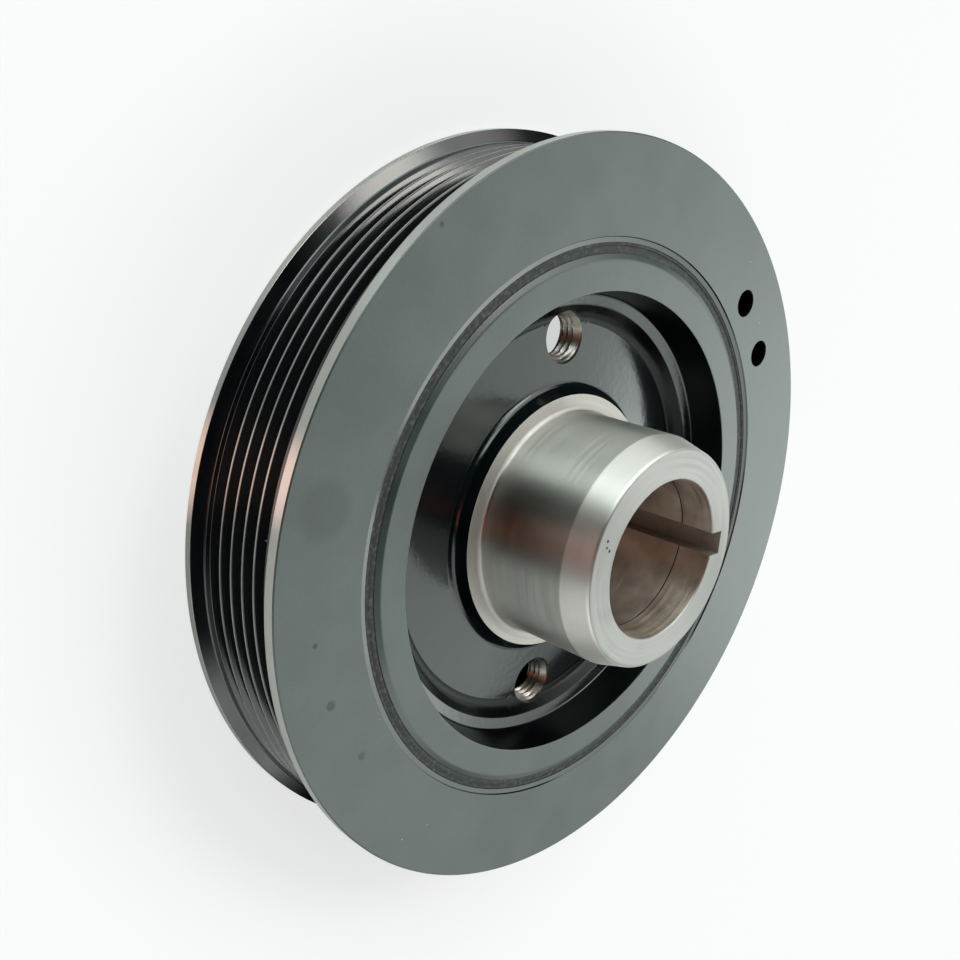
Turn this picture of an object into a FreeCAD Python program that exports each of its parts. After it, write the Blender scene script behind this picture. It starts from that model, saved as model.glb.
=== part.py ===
import FreeCAD, Part
import os

import Sketcher

# Harmonic balancer of a car engine, in millimetres. The crankshaft axis is Z. The damper stands
# on the rear face of its outer ring, and the snout points up. X runs through the keyway.
# Three pieces: the iron hub with its snout, the rubber ring that is bonded round it, and the
# outer ring, which is both the inertia weight and the pulley of a five-rib belt.

DRIVING_SIZES = (
    # Outer ring
    ("face_height", 29.4, "flat front face over the rear face of the outer ring"),
    ("ring_wall", 16.9, "inner seat of the ring to the rib crests"),
    ("front_flange_rise", 3.6, "front flange over the rib crests"),
    ("front_land_width", 2.5, "bare cylindrical land of the front flange"),
    ("front_flank_run", 1.2, "slope of the front flange, along the axis"),
    ("rear_flange_rise", 2.6, "rear flange over the rib crests"),
    ("rear_land_width", 1.8, "bare cylindrical land of the rear flange"),
    ("rear_flank_run", 1.0, "slope of the rear flange, along the axis"),
    ("groove_pitch", 3.56, "from one belt groove to the next"),
    ("groove_count", 5, "number of belt grooves"),
    ("groove_setback", 9.27, "front face to the middle of the first groove"),
    ("groove_depth", 3.0, "rib crest to groove bottom"),
    ("groove_flank_angle", 20, "slope of a groove wall, in degrees"),
    ("crest_width", 0.68, "flat on top of a rib"),
    ("ring_mouth_width", 1.2, "shallow bevel from the ring's front face to its inner seat, across"),
    ("ring_mouth_depth", 0.45, "depth of that bevel at the seat"),
    ("balance_hole_radius", 3.0, "drill of the balancing holes"),
    ("balance_hole_depth", 9.0, "full diameter of the balancing holes"),
    ("balance_hole_inset", 7.8, "inner seat of the ring to the middle of a balancing hole"),
    ("balance_hole_bearing", 29.7, "first balancing hole, in degrees from the keyway"),
    ("balance_hole_spacing", 12.8, "between the two balancing holes, in degrees"),
    ("balance_hole_count", 2, "number of balancing holes"),
    ("drill_point_angle", 118, "point of the drill, in degrees"),
    # Rubber ring
    ("rubber_thickness", 2.2, "hub rim to outer ring"),
    ("rubber_inner_setback", 0.55, "front face to the rubber beside the hub"),
    ("rubber_outer_setback", 0.5, "front face to the rubber beside the outer ring"),
    ("rubber_rear_setback", 1.2, "rear face of the outer ring to the rubber"),
    # Hub rim and web
    ("hub_rim_radius", 58.3, "outside of the hub rim, where the rubber is bonded"),
    ("hub_rear_setback", 0.8, "rear face of the outer ring to the rear of the hub rim"),
    ("rim_bevel_width", 1.2, "shallow bevel from the rim's front face to the rubber, across"),
    ("rim_bevel_depth", 0.45, "depth of that bevel at the rubber"),
    ("rim_width", 7.4, "front face of the hub rim, measured across"),
    ("recess_draft_run", 1.5, "casting draft of the recess wall"),
    ("recess_wall_depth", 8.0, "front face to the foot of the recess wall"),
    ("ledge_width", 2.4, "ledge at the foot of the recess wall, across"),
    ("ledge_fall", 0.65, "how far the ledge slopes down to its inner edge"),
    ("ledge_slope_run", 2.5, "cast slope from the ledge to the edge of the web"),
    ("web_edge_depth", 11.06, "front face to the edge of the dished web"),
    ("web_thickness", 6.0, "cast web, at its edge"),
    ("web_edge_hollow", 1.5, "cast hollow between the ledge's slope and the web, along each of them"),
    ("rear_rim_wall", 8.2, "hub rim round the rear recess"),
    ("rear_hollow", 1.8, "cast hollows at both corners of the rear recess"),
    # Boss and snout
    ("boss_radius", 28.55, "machined face of the boss round the snout"),
    ("boss_depth", 6.75, "front face to the machined face of the boss"),
    ("boss_slope_run", 1.25, "cast slope from the boss face out to the web"),
    ("boss_foot_depth", 10.05, "front face to the web at the foot of the boss"),
    ("boss_foot_hollow", 1.4, "cast hollow at the foot of the boss, along slope and web"),
    ("snout_radius", 25.0, "ground seal surface of the snout"),
    ("snout_reach", 21.5, "end of the snout over the front face"),
    ("lead_in_length", 6.1, "tapered end of the snout"),
    ("lead_in_fall", 1.65, "how much smaller in radius the taper ends"),
    ("snout_end_chamfer", 0.6, "softened edge at the end of the snout"),
    ("bore_radius", 17.0, "bore for the crankshaft nose"),
    ("bore_chamfer", 0.2, "mouth of the bore at the end of the snout"),
    ("keyway_width", 5.15, "slot for the crankshaft key"),
    ("keyway_floor", 20.1, "crankshaft axis to the floor of the keyway"),
    ("washer_radius", 22.0, "seat of the crankshaft bolt's washer"),
    ("washer_seat_depth", 3.0, "rear face of the boss to the washer seat"),
    ("rear_boss_radius", 27.8, "rear boss round the washer seat"),
    ("rear_boss_setback", 2.0, "rear face of the outer ring to the rear of the boss"),
    # Tapped holes for the puller
    ("tap_radius", 4.4, "core of an M10 thread"),
    ("tap_chamfer", 1.2, "countersunk mouths of the tapped holes"),
    ("tap_place", 40.0, "crankshaft axis to a tapped hole"),
    ("tap_count", 2, "number of tapped holes"),
)

# How far a cutting tool starts outside the metal.
TOOL_CLEARANCE = 1.0
FULL_TURN = 360
# Two places on an edge closer than this are the same place.
SAME_PLACE = 0.01

document = FreeCAD.newDocument("harmonic_balancer")


def fill_sheet():
    """Writes the driving sizes to the sheet, one named cell in each row."""
    sheet = document.addObject("Spreadsheet::Sheet", "Sizes")
    for row, (alias, value, note) in enumerate(DRIVING_SIZES, start=1):
        cell = f"B{row}"
        sheet.set(f"A{row}", alias)
        sheet.set(cell, str(value))
        sheet.set(f"C{row}", note)
        sheet.setAlias(cell, alias)
    document.recompute()
    return sheet


sizes = fill_sheet()


def size(*names):
    """Expression for the sum of named sizes; a name with a minus sign before it is taken off."""
    terms = []
    for name in names:
        sign = "-" if name.startswith("-") else "+"
        terms.append(f"{sign} Sizes.{name.lstrip('-')}")
    return " ".join(terms).lstrip("+ ")


def value_of(expression):
    """Number that an expression gives with the present sizes."""
    result = sizes.evalExpression(expression)
    return float(getattr(result, "Value", result))


def origin_plane(body, role):
    """The body's own origin plane or axis of that role."""
    return next(item for item in body.Origin.OriginFeatures if item.Role == role)


def closed_outline(body, name, role, corners):
    """Sketch of straight lines through the corners, each held by two expressions from the origin."""
    sketch = body.newObject("Sketcher::SketchObject", name)
    sketch.AttachmentSupport = [(origin_plane(body, role), "")]
    sketch.MapMode = "FlatFace"
    places = [FreeCAD.Vector(value_of(across), value_of(up), 0) for across, up in corners]
    count = len(places)
    sketch.addGeometry([Part.LineSegment(places[i], places[(i + 1) % count]) for i in range(count)], False)
    joins = [Sketcher.Constraint("Coincident", i, 2, (i + 1) % count, 1) for i in range(count)]
    sketch.addConstraint(joins)
    for i, (across, up) in enumerate(corners):
        for kind, expression in (("DistanceX", across), ("DistanceY", up)):
            number = sketch.addConstraint(Sketcher.Constraint(kind, -1, 1, i, 1, value_of(expression)))
            sketch.setExpression(f"Constraints[{number}]", expression)
    return sketch


def turned(body, kind, name, sketch, axis):
    """Full revolution or groove of a sketch round one of its own axes."""
    feature = body.newObject(f"PartDesign::{kind}", name)
    feature.Profile = sketch
    feature.ReferenceAxis = (sketch, [axis])
    feature.Angle = FULL_TURN
    document.recompute()
    return feature


def circle_edges(feature, rings):
    """Names of the feature's edges that lie on the given (radius, height) circles round Z."""
    wanted = [(value_of(radius), value_of(height)) for radius, height in rings]
    names = []
    for number, edge in enumerate(feature.Shape.Edges, start=1):
        if not isinstance(edge.Curve, Part.Circle):
            continue
        centre = edge.Curve.Center
        for radius, height in wanted:
            on_axis = abs(centre.x) + abs(centre.y) < SAME_PLACE
            if on_axis and abs(centre.z - height) + abs(edge.Curve.Radius - radius) < SAME_PLACE:
                names.append(f"Edge{number}")
    return names


def chamfered(body, name, base, alias, rings):
    """Chamfer of one named size on circular edges."""
    feature = body.newObject("PartDesign::Chamfer", name)
    feature.Base = (base, circle_edges(base, rings))
    feature.setExpression("Size", size(alias))
    document.recompute()
    return feature


def patterned_round_axis(body, name, feature, count_alias, angle_expression):
    """Copies of a feature round Z, over an angle from the first copy to the last."""
    pattern = body.newObject("PartDesign::PolarPattern", name)
    pattern.Originals = [feature]
    pattern.Axis = (origin_plane(body, "Z_Axis"), [""])
    pattern.setExpression("Occurrences", size(count_alias))
    pattern.setExpression("Angle", angle_expression)
    body.Tip = pattern
    document.recompute()
    return pattern


def new_body(label):
    """Empty body with the name of its piece."""
    body = document.addObject("PartDesign::Body", label)
    body.Label = label
    return body


# Places that several pieces share

FRONT_FACE = size("face_height")
RUBBER_SEAT = size("hub_rim_radius", "rubber_thickness")
RIB_CREST = f"{RUBBER_SEAT} + Sizes.ring_wall"
LEDGE_EDGE = size("hub_rim_radius", "-rim_width", "-recess_draft_run", "-ledge_width")
WEB_EDGE = f"{LEDGE_EDGE} - Sizes.ledge_slope_run"
WEB_EDGE_TOP = size("face_height", "-web_edge_depth")
WEB_UNDERSIDE = size("face_height", "-web_edge_depth", "-web_thickness")
BOSS_FOOT = size("boss_radius", "boss_slope_run")
BOSS_FOOT_TOP = size("face_height", "-boss_foot_depth")
SNOUT_END = size("face_height", "snout_reach")


# Outer ring

def ring_profile(body):
    """Section of the outer ring before the belt grooves are cut."""
    front_flange = f"{RIB_CREST} + Sizes.front_flange_rise"
    rear_flange = f"{RIB_CREST} + Sizes.rear_flange_rise"
    corners = (
        (RUBBER_SEAT, "0"),
        (rear_flange, "0"),
        (rear_flange, size("rear_land_width")),
        (RIB_CREST, size("rear_land_width", "rear_flank_run")),
        (RIB_CREST, size("face_height", "-front_land_width", "-front_flank_run")),
        (front_flange, size("face_height", "-front_land_width")),
        (front_flange, FRONT_FACE),
        (f"{RUBBER_SEAT} + Sizes.ring_mouth_width", FRONT_FACE),
        (RUBBER_SEAT, size("face_height", "-ring_mouth_depth")),
    )
    return closed_outline(body, "ring_section", "XZ_Plane", corners)


def groove_profile(body):
    """Section of the first belt groove, a V with a flat bottom, reaching out past the crests."""
    middle = size("face_height", "-groove_setback")
    slope = "tan(Sizes.groove_flank_angle)"
    half_mouth = "(Sizes.groove_pitch - Sizes.crest_width) / 2"
    half_floor = f"{half_mouth} - Sizes.groove_depth * {slope}"
    half_outside = f"{half_mouth} + {TOOL_CLEARANCE} * {slope}"
    floor = f"{RIB_CREST} - Sizes.groove_depth"
    outside = f"{RIB_CREST} + {TOOL_CLEARANCE}"
    corners = (
        (outside, f"{middle} + {half_outside}"),
        (floor, f"{middle} + {half_floor}"),
        (floor, f"{middle} - ({half_floor})"),
        (outside, f"{middle} - ({half_outside})"),
    )
    return closed_outline(body, "groove_section", "XZ_Plane", corners)


def make_outer_ring():
    """Outer ring: turned section, five belt grooves and two drilled balancing holes."""
    body = new_body("pulley_ring")
    turned(body, "Revolution", "ring_blank", ring_profile(body), "V_Axis")

    groove = turned(body, "Groove", "belt_groove", groove_profile(body), "V_Axis")
    grooves = body.newObject("PartDesign::LinearPattern", "belt_grooves")
    grooves.Originals = [groove]
    grooves.Direction = (origin_plane(body, "Z_Axis"), [""])
    grooves.Reversed = True
    grooves.setExpression("Occurrences", size("groove_count"))
    grooves.setExpression("Length", "Sizes.groove_pitch * (Sizes.groove_count - 1)")
    body.Tip = grooves
    document.recompute()

    marks = body.newObject("Sketcher::SketchObject", "balance_hole_mark")
    marks.AttachmentSupport = [(origin_plane(body, "XY_Plane"), "")]
    marks.MapMode = "FlatFace"
    marks.setExpression("AttachmentOffset.Base.z", FRONT_FACE)
    place = f"({RUBBER_SEAT} + Sizes.balance_hole_inset)"
    across = f"{place} * cos(Sizes.balance_hole_bearing)"
    along = f"{place} * sin(Sizes.balance_hole_bearing)"
    centre = FreeCAD.Vector(value_of(across), value_of(along), 0)
    radius = value_of(size("balance_hole_radius"))
    marks.addGeometry(Part.Circle(centre, FreeCAD.Vector(0, 0, 1), radius), False)
    for constraint, expression in (
        (Sketcher.Constraint("DistanceX", -1, 1, 0, 3, centre.x), across),
        (Sketcher.Constraint("DistanceY", -1, 1, 0, 3, centre.y), along),
        (Sketcher.Constraint("Radius", 0, radius), size("balance_hole_radius")),
    ):
        marks.setExpression(f"Constraints[{marks.addConstraint(constraint)}]", expression)
    document.recompute()

    drilled = body.newObject("PartDesign::Hole", "balance_hole")
    drilled.Profile = marks
    document.recompute()
    drilled.ThreadType = 0
    drilled.HoleCutType = 0
    drilled.DepthType = 0
    drilled.DrillPoint = 1
    drilled.DrillForDepth = False
    drilled.setExpression("Diameter", "2 * Sizes.balance_hole_radius")
    drilled.setExpression("Depth", size("balance_hole_depth"))
    drilled.setExpression("DrillPointAngle", size("drill_point_angle"))
    document.recompute()
    span = "Sizes.balance_hole_spacing * (Sizes.balance_hole_count - 1)"
    patterned_round_axis(body, "balance_holes", drilled, "balance_hole_count", span)
    return body


# Rubber ring

def make_rubber_ring():
    """Rubber ring: bonded to both metals along its cylinders, its front edge rising outwards."""
    body = new_body("rubber_ring")
    corners = (
        (size("hub_rim_radius"), size("rubber_rear_setback")),
        (RUBBER_SEAT, size("rubber_rear_setback")),
        (RUBBER_SEAT, size("face_height", "-rubber_outer_setback")),
        (size("hub_rim_radius"), size("face_height", "-rubber_inner_setback")),
    )
    section = closed_outline(body, "rubber_section", "XZ_Plane", corners)
    turned(body, "Revolution", "rubber_blank", section, "V_Axis")
    return body


# Hub

def hub_profile(body):
    """Section of the hub: rim, recess, web, boss, snout, bore and rear recess."""
    mouth = size("hub_rim_radius", "-rim_width")
    wall_foot = f"{mouth} - Sizes.recess_draft_run"
    boss_face = size("face_height", "-boss_depth")
    rear_boss_face = size("rear_boss_setback")
    washer_seat = size("rear_boss_setback", "washer_seat_depth")
    rear_mouth = size("hub_rim_radius", "-rear_rim_wall")
    corners = (
        # Rim, from its rear edge to the front face
        (rear_mouth, size("hub_rear_setback")),
        (size("hub_rim_radius"), size("hub_rear_setback")),
        (size("hub_rim_radius"), size("face_height", "-rim_bevel_depth")),
        (size("hub_rim_radius", "-rim_bevel_width"), FRONT_FACE),
        # Recess: wall, ledge and dished web
        (mouth, FRONT_FACE),
        (wall_foot, size("face_height", "-recess_wall_depth")),
        (LEDGE_EDGE, size("face_height", "-recess_wall_depth", "-ledge_fall")),
        (WEB_EDGE, WEB_EDGE_TOP),
        # Boss
        (BOSS_FOOT, BOSS_FOOT_TOP),
        (size("boss_radius"), boss_face),
        # Snout
        (size("snout_radius"), boss_face),
        (size("snout_radius"), f"{SNOUT_END} - Sizes.lead_in_length"),
        (size("snout_radius", "-lead_in_fall"), SNOUT_END),
        # Bore, down to the washer seat
        (size("bore_radius", "bore_chamfer"), SNOUT_END),
        (size("bore_radius"), f"{SNOUT_END} - Sizes.bore_chamfer"),
        (size("bore_radius"), washer_seat),
        (size("washer_radius"), washer_seat),
        (size("washer_radius"), rear_boss_face),
        # Rear boss and rear recess
        (size("rear_boss_radius"), rear_boss_face),
        (size("rear_boss_radius"), WEB_UNDERSIDE),
        (rear_mouth, WEB_UNDERSIDE),
    )
    return closed_outline(body, "hub_section", "XZ_Plane", corners)


def tap_profile(body):
    """Half section of a tapped hole beside its own axis, with both countersunk mouths."""
    axis = size("tap_place")
    dish = f"({size('web_edge_depth', '-boss_foot_depth')}) / ({WEB_EDGE} - ({BOSS_FOOT}))"
    web_top = f"{BOSS_FOOT_TOP} - {dish} * ({axis} - ({BOSS_FOOT}))"
    wall = size("tap_place", "tap_radius")
    mouth = f"{wall} + Sizes.tap_chamfer + {TOOL_CLEARANCE}"
    above = f"{web_top} + {TOOL_CLEARANCE}"
    below = f"{WEB_UNDERSIDE} - {TOOL_CLEARANCE}"
    corners = (
        (axis, below),
        (axis, above),
        (mouth, above),
        (wall, f"{web_top} - Sizes.tap_chamfer"),
        (wall, f"{WEB_UNDERSIDE} + Sizes.tap_chamfer"),
        (mouth, below),
    )
    sketch = closed_outline(body, "tapped_hole_section", "YZ_Plane", corners)
    reach = sketch.addGeometry(Part.LineSegment(
        FreeCAD.Vector(value_of(axis), value_of(below), 0),
        FreeCAD.Vector(value_of(axis), value_of(above), 0)), True)
    sketch.addConstraint([
        Sketcher.Constraint("Coincident", reach, 1, 0, 1),
        Sketcher.Constraint("Coincident", reach, 2, 1, 1),
    ])
    return sketch


def make_hub():
    """Hub: turned section with its softened corners, the keyway and the tapped holes."""
    body = new_body("hub")
    shape = turned(body, "Revolution", "hub_blank", hub_profile(body), "V_Axis")

    rear_wall = size("hub_rim_radius", "-rear_rim_wall")
    rear_corners = [(rear_wall, WEB_UNDERSIDE), (size("rear_boss_radius"), WEB_UNDERSIDE)]
    for name, alias, rings in (
        ("web_edge_hollows", "web_edge_hollow", [(WEB_EDGE, WEB_EDGE_TOP)]),
        ("boss_foot_hollows", "boss_foot_hollow", [(BOSS_FOOT, BOSS_FOOT_TOP)]),
        ("snout_end_edge", "snout_end_chamfer", [(size("snout_radius", "-lead_in_fall"), SNOUT_END)]),
        ("rear_recess_hollows", "rear_hollow", rear_corners),
    ):
        shape = chamfered(body, name, shape, alias, rings)

    floor = size("keyway_floor")
    side = "Sizes.keyway_width / 2"
    corners = (("0", f"-{side}"), (floor, f"-{side}"), (floor, side), ("0", side))
    slot = closed_outline(body, "keyway_outline", "XY_Plane", corners)
    keyway = body.newObject("PartDesign::Pocket", "keyway")
    keyway.Profile = slot
    keyway.Reversed = True
    keyway.Type = 0
    keyway.setExpression("Length", f"{SNOUT_END} + {TOOL_CLEARANCE}")
    document.recompute()

    tapped = turned(body, "Groove", "tapped_hole", tap_profile(body), "Axis0")
    span = f"{FULL_TURN} * (Sizes.tap_count - 1) / Sizes.tap_count"
    patterned_round_axis(body, "tapped_holes", tapped, "tap_count", span)
    return body


def check_features(bodies):
    """Stops with a message if a feature failed, cut nothing or left no solid."""
    document.recompute()
    failed = [item.Name for item in document.Objects if {"Invalid", "Error"} & set(item.State)]
    if failed:
        raise RuntimeError(f"failed features: {failed}")
    for body in bodies:
        if body.Shape.isNull() or not body.Shape.isValid() or len(body.Shape.Solids) != 1:
            raise RuntimeError(f"{body.Label} isn't one valid solid")
        solids = [item for item in body.Group if hasattr(item, "Shape") and item.Shape.Solids]
        for earlier, later in zip(solids, solids[1:]):
            if abs(earlier.Shape.Volume - later.Shape.Volume) < SAME_PLACE:
                raise RuntimeError(f"{later.Name} changed nothing")


def write_pieces(bodies):
    """Writes each piece to its own file."""
    os.makedirs("parts", exist_ok=True)
    for body in bodies:
        body.Shape.exportStep(f"parts/{body.Label}.step")
        box = body.Shape.BoundBox
        print(f"{body.Label}: volume {body.Shape.Volume:.0f} mm3, height {box.ZMin:.2f} to {box.ZMax:.2f}")


pieces = [make_outer_ring(), make_rubber_ring(), make_hub()]
check_features(pieces)
write_pieces(pieces)
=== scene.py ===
"""Looks of a crankshaft damper pulley: an iron hub with a ground snout, a thin bonded rubber
ring, and a turned outer ring with five belt grooves, on a pale studio floor.

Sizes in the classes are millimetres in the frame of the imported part: Z is the crankshaft axis,
the part stands on z = 0, and X runs through the keyway. Meshes are made in metres.
"""

import logging
import math
from dataclasses import dataclass, field
from enum import Enum
from typing import ClassVar

import bpy
import numpy as np
from mathutils import Matrix, Vector

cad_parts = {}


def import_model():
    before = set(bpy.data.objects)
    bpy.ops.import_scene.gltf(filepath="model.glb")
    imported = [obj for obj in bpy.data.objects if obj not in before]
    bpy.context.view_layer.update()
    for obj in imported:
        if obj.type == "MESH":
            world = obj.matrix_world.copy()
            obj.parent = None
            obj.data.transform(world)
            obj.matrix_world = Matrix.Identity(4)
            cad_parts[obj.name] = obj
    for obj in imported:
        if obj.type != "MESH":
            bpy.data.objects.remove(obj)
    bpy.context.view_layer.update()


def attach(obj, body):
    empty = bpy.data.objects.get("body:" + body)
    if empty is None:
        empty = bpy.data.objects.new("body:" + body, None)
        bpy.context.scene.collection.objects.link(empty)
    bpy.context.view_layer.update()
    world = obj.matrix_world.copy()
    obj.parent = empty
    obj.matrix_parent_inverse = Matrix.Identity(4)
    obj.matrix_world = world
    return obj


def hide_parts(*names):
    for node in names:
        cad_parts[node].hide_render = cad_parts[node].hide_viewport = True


LOG = logging.getLogger("harmonic_balancer")
MM = 0.001
FULL_TURN = 2 * math.pi
SHARP_EDGE = math.radians(26.0)


class Finish(Enum):
    """Surfaces of the part, in the order of the numbers that faces have for them."""

    FACE_ENAMEL = "face_enamel"
    CAST_ENAMEL = "cast_enamel"
    HOLLOW_ENAMEL = "hollow_enamel"
    GROOVE_ENAMEL = "groove_enamel"
    TURNED_LAND = "turned_land"
    RIB_CREST = "rib_crest"
    GROUND_SNOUT = "ground_snout"
    TURNED_TAPER = "turned_taper"
    FINE_TURNED = "fine_turned"
    TURNED_BOSS = "turned_boss"
    BORED = "bored"
    BROACHED = "broached"
    CUT_THREAD = "cut_thread"
    DRILLED = "drilled"
    MOULDED_RUBBER = "moulded_rubber"

    @property
    def number(self) -> int:
        """Its place in this list."""
        return list(Finish).index(self)


# Turned sections


@dataclass(frozen=True)
class Corner:
    """A corner of a turned section.

    Attributes:
        radius: distance from the axis.
        height: height over the floor.
        rounding: radius of the arc that replaces the corner, or 0 for a sharp one.
        finish: surface of the stretch that follows the corner.
    """

    radius: float
    height: float
    rounding: float
    finish: Finish


@dataclass
class Section:
    """Closed section of a turned piece, sampled as rows of one radius and one height each.

    Attributes:
        radii: radius of each row.
        heights: height of each row.
        finishes: surface between each row and the next.
        ARC_STEP: largest turn from one row of an arc to the next.
        SMALL_ARC: radius below which an arc does with fewer rows.
        SMALL_ARC_STEP: largest turn from row to row in such an arc.
        SUPPORT: how far before and after an arc a row keeps the straight stretch flat.
        SUPPORT_PARTS: the least number of such distances in a stretch.
        NEAR: rows that differ from a height by less than this belong to its stretch.
        HEIGHT_WEIGHT: what a difference in height counts for against one in radius.
    """

    radii: np.ndarray
    heights: np.ndarray
    finishes: list[Finish]

    ARC_STEP: ClassVar[float] = math.radians(11.0)
    SMALL_ARC: ClassVar[float] = 0.5
    SMALL_ARC_STEP: ClassVar[float] = math.radians(23.0)
    SUPPORT: ClassVar[float] = 0.12
    SUPPORT_PARTS: ClassVar[int] = 6
    NEAR: ClassVar[float] = 4.0
    HEIGHT_WEIGHT: ClassVar[float] = 0.01

    @classmethod
    def from_corners(cls, corners: list[Corner]) -> "Section":
        """Rounds the corners of a closed outline.

        An arc of radius q in a corner that turns by angle a starts q * tan(a / 2) before the
        corner. A row a little before and after each arc keeps the shading of the straight
        stretches flat.

        Args:
            corners: the outline's corners in order; the last one joins the first.

        Returns:
            The sampled section.
        """
        points: list[np.ndarray] = []
        finishes: list[Finish] = []
        places = [np.array([corner.radius, corner.height]) for corner in corners]
        for index, corner in enumerate(corners):
            place, entry = places[index], corners[index - 1].finish
            before, after = place - places[index - 1], places[(index + 1) % len(corners)] - place
            reach = np.linalg.norm(before), np.linalg.norm(after)
            before, after = before / reach[0], after / reach[1]
            turn = math.atan2(before[0] * after[1] - before[1] * after[0], before @ after)
            setback = corner.rounding * math.tan(abs(turn) / 2)
            support = setback + min(cls.SUPPORT, min(reach) / cls.SUPPORT_PARTS)
            normal = np.array([-before[1], before[0]]) * math.copysign(1.0, turn)
            centre = place - before * setback + normal * corner.rounding
            shares = cls.arc_shares(corner.rounding, turn)
            angles = turn * shares[:, None]
            arc = centre + (before * np.sin(abs(angles)) - normal * np.cos(angles)) * corner.rounding
            points += [place - before * support, *arc, place + after * support]
            finishes += [entry, *(entry if share < 0.5 else corner.finish for share in shares), corner.finish]
        rows = np.array(points)
        return cls(rows[:, 0], rows[:, 1], finishes)

    @classmethod
    def arc_shares(cls, rounding: float, turn: float) -> np.ndarray:
        """Shares of a corner's turn at which it has rows.

        Args:
            rounding: radius of the corner's arc.
            turn: angle by which the outline turns there.

        Returns:
            Even shares from 0 to 1, or only the whole turn where the corner is sharp.
        """
        if not rounding:
            return np.ones(1)
        step = cls.SMALL_ARC_STEP if rounding < cls.SMALL_ARC else cls.ARC_STEP
        return np.linspace(0.0, 1.0, max(1, math.ceil(abs(turn) / step)) + 1)

    def near(self, height: float) -> np.ndarray:
        """Which rows lie close to a height."""
        return abs(self.heights - height) < self.NEAR

    def with_even_rows(self, first: float, last: float, near_height: float, count: int) -> "Section":
        """Replaces the rows of a stretch by evenly spaced ones on the same line.

        Each new cell keeps the finish of the old row under its middle.

        Args:
            first: radius at which the stretch starts, in the section's order.
            last: radius at which it ends.
            near_height: a height close to the stretch, which tells it from others at that radius.
            count: number of cells along the stretch.

        Returns:
            A section with count + 1 rows in that stretch.
        """
        low, high = min(first, last), max(first, last)
        rows = np.flatnonzero((self.radii > low) & (self.radii < high) & self.near(near_height))
        start = rows[0] if rows.size else self.row_after(low, high, near_height)
        stop = rows[-1] + 1 if rows.size else start
        line = slice(start - 1, stop + 1)
        order = np.argsort(self.radii[line])
        radii = np.linspace(first, last, count + 1)
        heights = np.interp(radii, self.radii[line][order], self.heights[line][order])
        way = math.copysign(1.0, last - first)
        middles = (radii[:-1] + radii[1:]) / 2
        under = np.searchsorted(self.radii[line] * way, middles * way) + start - 2
        finishes = [self.finishes[row] for row in under.clip(start - 1, stop - 1)]
        return Section(
            np.concatenate([self.radii[:start], radii, self.radii[stop:]]),
            np.concatenate([self.heights[:start], heights, self.heights[stop:]]),
            self.finishes[:start] + finishes + [self.finishes[stop - 1]] + self.finishes[stop:],
        )

    def row_after(self, low: float, high: float, near_height: float) -> int:
        """Finds the end of a straight stretch with no row between two radii.

        Args:
            low: the smaller radius.
            high: the larger radius.
            near_height: a height close to the stretch.

        Returns:
            Number of the row that follows the stretch.
        """
        ends = np.roll(self.radii, -1)
        over = (np.minimum(self.radii, ends) < low) & (np.maximum(self.radii, ends) > high)
        return int(np.flatnonzero(over & self.near(near_height))[0]) + 1

    def row_at(self, radius: float, near_height: float) -> int:
        """Finds the row at a radius.

        Args:
            radius: the row's radius.
            near_height: a height close to the row's.

        Returns:
            Number of the row.
        """
        distance = abs(self.radii - radius) + self.HEIGHT_WEIGHT * abs(self.heights - near_height)
        distance[~self.near(near_height)] = np.inf
        return int(np.argmin(distance))


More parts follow.
